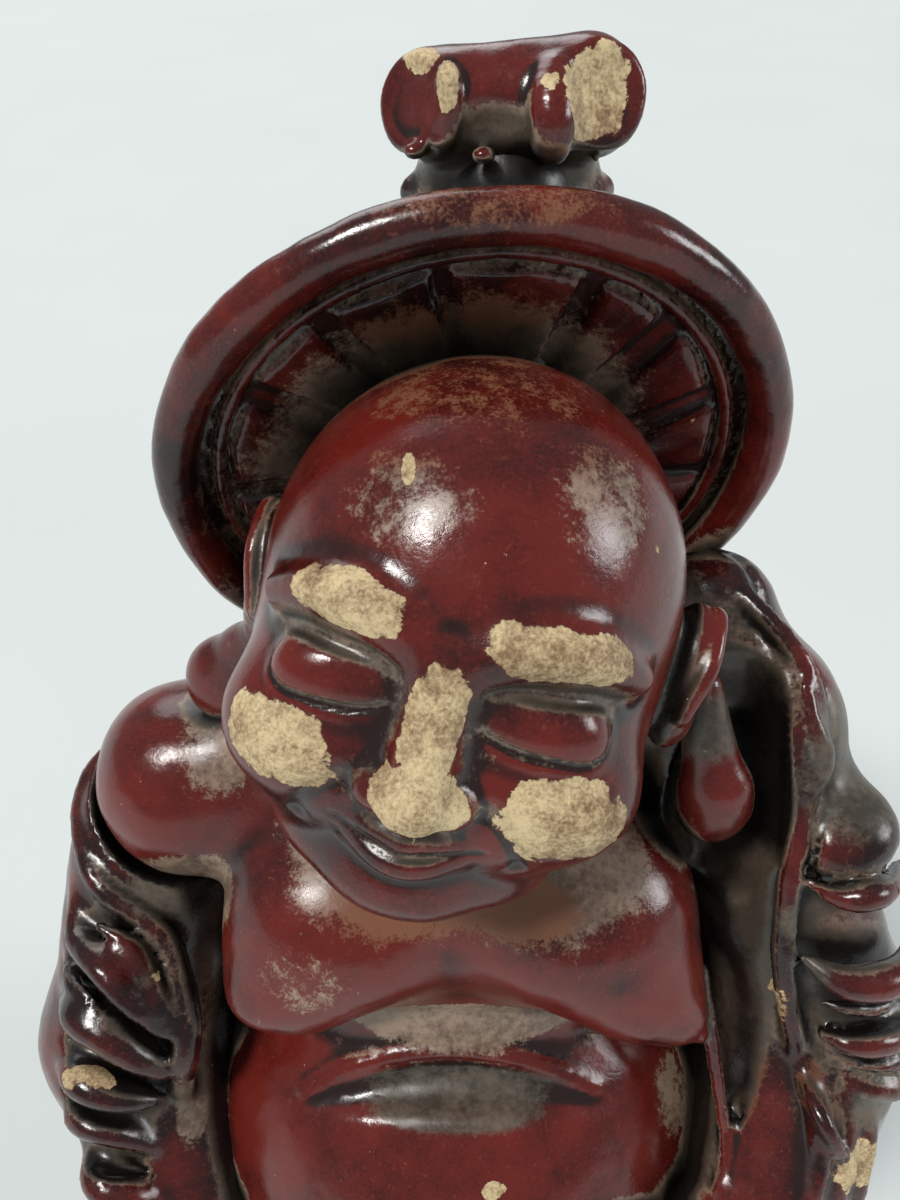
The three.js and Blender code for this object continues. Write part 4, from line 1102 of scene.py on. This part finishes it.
def resin_material():
    n = Nodes("resin")
    keys = ("hollow", "worn", "film", "warm", "olive", "curve", "tone", "dusting")
    hollow, worn, film, warm, olive, curve, tone, dusting = (n.attribute(k) for k in keys)
    broad = n.noise(5.0, 3)
    ragged = n.centred(n.noise(1.1, 7, 0.7, (0.01, 0.02, 0.03)))
    fine = n.centred(n.noise(0.32, 5, 0.65, (0.04, 0.01, 0.02)))
    grain = n.centred(n.noise(0.11, 3, 0.6, (0.02, 0.05, 0.01)))

    # The glossy red coat, deeper in places and peppered. Painted shade, over a real dark wash, darkens it in its
    # hollows and creases.
    depth = n.sum(tone, -1.0, n.times(n.centred(broad), 3), n.times(ragged, 1.1), n.times(grain, 1.1), n.times(hollow, -0.6))
    red = n.blend(n.ramp(depth, -1.05, 0.45), (0.013, 0.004, 0.004), (0.160, 0.015, 0.010))
    red = n.blend(n.times(n.ramp(n.sum(fine, n.times(grain, 0.6)), 0.08, 0.3), 0.35), red, (0.30, 0.07, 0.04))
    # Painted shade in the creases, over a real dark wash.
    red = n.blend(n.ramp(curve, -0.02, -0.3), red, (0.020, 0.007, 0.006))

    # A dusty film round the shaded places and in a few others, broken into specks at its borders.
    speck = n.sum(n.times(ragged, 0.9), n.times(fine, 0.5), n.times(grain, 0.5))
    shade = n.sum(hollow, n.times(ragged, 0.45), n.times(fine, 0.12))
    dust = n.sum(film, n.times(speck, 1.1))
    border = n.times(n.ramp(n.sum(hollow, n.times(speck, 0.35)), 0.25, 0.37), dusting)
    film_share = n.times(n.math("MAXIMUM", border, n.ramp(dust, 0.22, 0.5)), 0.8)
    cloudy = n.sum(n.centred(broad), n.times(fine, 0.8), n.times(ragged, 0.5))
    dusty = n.blend(n.ramp(cloudy, -0.2, 0.25), (0.15, 0.105, 0.075), (0.44, 0.33, 0.235))
    dusty = n.blend(n.ramp(n.sum(warm, n.times(ragged, 0.8)), -0.1, 0.3), dusty, (0.26, 0.115, 0.06))
    colour = n.blend(film_share, red, dusty)
    olive_share = n.times(n.ramp(n.sum(olive, n.times(speck, 0.7)), 0.05, 0.5), 0.85)
    olive_tint = n.blend(n.ramp(cloudy, -0.25, 0.25), (0.055, 0.046, 0.034), (0.16, 0.135, 0.10))
    colour = n.blend(olive_share, colour, olive_tint)

    # Painted shade over a real olive-black wash in the hollows, blackest where they are deepest.
    colour = n.blend(n.times(n.ramp(shade, 0.34, 0.5), 0.85), colour, (0.048, 0.039, 0.028))
    colour = n.blend(n.ramp(shade, 0.46, 0.72), colour, (0.008, 0.006, 0.005))

    # Tan resin where the coat has worn through, like fine sandstone, with a crisp border.
    blotch = n.centred(n.noise(2.6, 3, 0.5, (0.05, 0.04, 0)))
    edge = n.sum(worn, n.times(ragged, 1.2), n.times(fine, 0.35), n.times(blotch, 1.5))
    flecks = n.times(n.ramp(n.noise(0.7, 4, 0.7, (0.07, 0, 0)), 0.71, 0.73), n.ramp(curve, -0.05, 0.05))
    worn_share = n.math("MAXIMUM", n.ramp(edge, 0.2, 0.25), n.times(flecks, 0.7))
    sand = n.sum(n.times(grain, 1.1), n.times(fine, 0.9), n.times(ragged, 1.6), n.times(n.centred(broad), 1.2))
    tan = n.blend(n.ramp(sand, -0.5, 0.45), (0.22, 0.115, 0.05), (0.80, 0.63, 0.36))
    colour = n.blend(n.times(n.ramp(edge, 0.13, 0.2), 0.8), colour, (0.10, 0.025, 0.014))
    colour = n.blend(worn_share, colour, tan)

    shader = n.tree.nodes.new("ShaderNodeBsdfPrincipled")
    n.put(shader.inputs["Base Color"], colour)
    dull = n.math("MAXIMUM", n.math("MAXIMUM", n.times(film_share, 0.3), n.times(olive_share, 0.45)), worn_share)
    n.put(shader.inputs["Roughness"], n.sum(0.19, n.times(dull, 0.5), n.times(ragged, 0.22), n.times(fine, 0.15)))
    shader.inputs["IOR"].default_value = 1.55
    softer = n.math("SUBTRACT", 0.8, n.times(worn_share, 0.5))
    relief = n.sum(n.times(fine, softer), n.times(grain, n.sum(0.12, n.times(worn_share, 0.5))), n.times(worn_share, -0.4))
    n.put(shader.inputs["Normal"], n.bump(relief, 0.35, 0.05))
    n.tree.links.new(shader.outputs["BSDF"], n.output.inputs["Surface"])
    return n.material


def floor_material():
    n = Nodes("floor")
    shader = n.tree.nodes.new("ShaderNodeBsdfPrincipled")
    n.put(shader.inputs["Base Color"], n.blend(n.noise(60, 2), (0.70, 0.75, 0.74), (0.76, 0.81, 0.80)))
    shader.inputs["Roughness"].default_value = 0.8
    n.tree.links.new(shader.outputs["BSDF"], n.output.inputs["Surface"])
    return n.material


# The floor, the lights and the camera

def add_floor():
    half = 4.0
    mesh = bpy.data.meshes.new("floor")
    mesh.from_pydata([(-half, -half, 0), (half, -half, 0), (half, half, 0), (-half, half, 0)], [], [(0, 1, 2, 3)])
    mesh.materials.append(floor_material())
    floor = bpy.data.objects.new("floor", mesh)
    bpy.context.scene.collection.objects.link(floor)


def add_sun(name, towards, spread, power, colour):
    """A large soft light from far away. towards points at it, and spread is how wide it looks, in degrees."""
    light = bpy.data.lights.new(name, "SUN")
    light.angle = math.radians(spread)
    light.energy = power
    light.color = colour
    lamp = bpy.data.objects.new(name, light)
    bpy.context.scene.collection.objects.link(lamp)
    lamp.rotation_euler = Vector(towards).to_track_quat("Z", "Y").to_euler()
    lamp.location = Vector(towards) * 0.3


def add_camera():
    pitch = math.radians(44.5)  # below the horizon
    focal = 867  # in pixels of the 1200 px side
    camera = bpy.data.cameras.new("camera")
    camera.sensor_width = 36
    camera.lens = focal / 1200 * 36
    camera.clip_start = 0.001
    camera.clip_end = 20
    eye = bpy.data.objects.new("camera", camera)
    bpy.context.scene.collection.objects.link(eye)
    eye.location = Vector((-0.45, -20.9, 85.4)) * MM
    eye.rotation_euler = (math.pi / 2 - pitch, 0, 0)
    bpy.context.scene.camera = eye


def add_world():
    world = bpy.data.worlds.new("studio")
    world.use_nodes = True
    background = world.node_tree.nodes["Background"]
    background.inputs["Color"].default_value = (0.93, 0.97, 1.0, 1)
    background.inputs["Strength"].default_value = 0.27
    bpy.context.scene.world = world


resin = resin_material()
bpy.context.scene.view_settings.view_transform = "Standard"
sculptures = dict(
    torso=sculpt_whole_torso, robe=sculpt_whole_robe, right_hand=sculpt_right_hand, left_hand=sculpt_left_hand,
    belt=sculpt_belt, head=sculpt_head, hat=sculpt_hat, knot=sculpt_knot, sack=sculpt_sack, skirt=sculpt_skirt,
)
whole = Clay((-26, -22, -2), (26, 22, 84), STEP["whole"], margin=5)
for sculpt in sculptures.values():
    part = Clay((-26, -22, -2), (26, 22, 84), STEP["whole"], margin=5)
    sculpt(part)
    whole.field = np.minimum(whole.field, part.field)
whole.lay(Form((-25, -19, -1), (25, 19, 5.5), lambda x, y, z: np.maximum(
    (np.sqrt((x / 24) ** 2 + (y / 18) ** 2) - 1) * 18, z - 5.5)), 0.1)

clay_piece("torso", (-17.5, -18.5, 19), (15.5, 11, 66), STEP["torso"], sculpt_whole_torso, whole, resin, 0.04, 0.8, 1, 1, 0.55)
clay_piece("robe", (-22, -19, 19), (22, 13, 64), STEP["robe"], sculpt_whole_robe, whole, resin, 0.05, 1.0, 0.55, 0.6)
clay_piece("right_hand", (-13, -19.5, 27), (-1, -9, 40), STEP["hand"], sculpt_right_hand, whole, resin, 0.02)
clay_piece("left_hand", (1, -19.5, 30), (13, -9, 44), STEP["hand"], sculpt_left_hand, whole, resin, 0.02)
clay_piece("belt", (-16, -17.5, 10), (16, 11.5, 28), STEP["belt"], sculpt_belt, whole, resin, 0.02)
clay_piece("head", (-12.5, -11, 51), (12.5, 9.5, 74), STEP["head"], sculpt_head, whole, resin, 0.02, 0.8, 1, 0.7, 0.7)
clay_piece("hat", (-12.5, -1, 52), (13.5, 13, 78), STEP["hat"], sculpt_hat, whole, resin, 0.04, 0.4, 0.6, 0.7)
clay_piece("sack_knot", (-4, 4, 70.5), (7, 12.5, 81), STEP["knot"], sculpt_knot, whole, resin, 0.07, 0.7, 0.7)
clay_piece("sack", (-14, 2, 26), (14, 19, 79), STEP["sack"], sculpt_sack, whole, resin, 0.05, 1.1, 0.6)
clay_piece("skirt", (-19.5, -17.5, 3.4), (19.5, 13.5, 30), STEP["skirt"], sculpt_skirt, whole, resin, 0.05, 1.1, 0.6)
plinth_piece(whole, resin)

add_floor()
add_world()
add_sun("window", (-0.46, -0.28, 0.84), 12, 2.0, (1.0, 0.98, 0.95))
add_sun("side", (0.93, -0.05, 0.35), 20, 0.9, (0.96, 0.98, 1.0))
add_sun("back", (-0.3, 0.9, 0.6), 40, 0.9, (0.96, 0.98, 1.0))
add_camera()
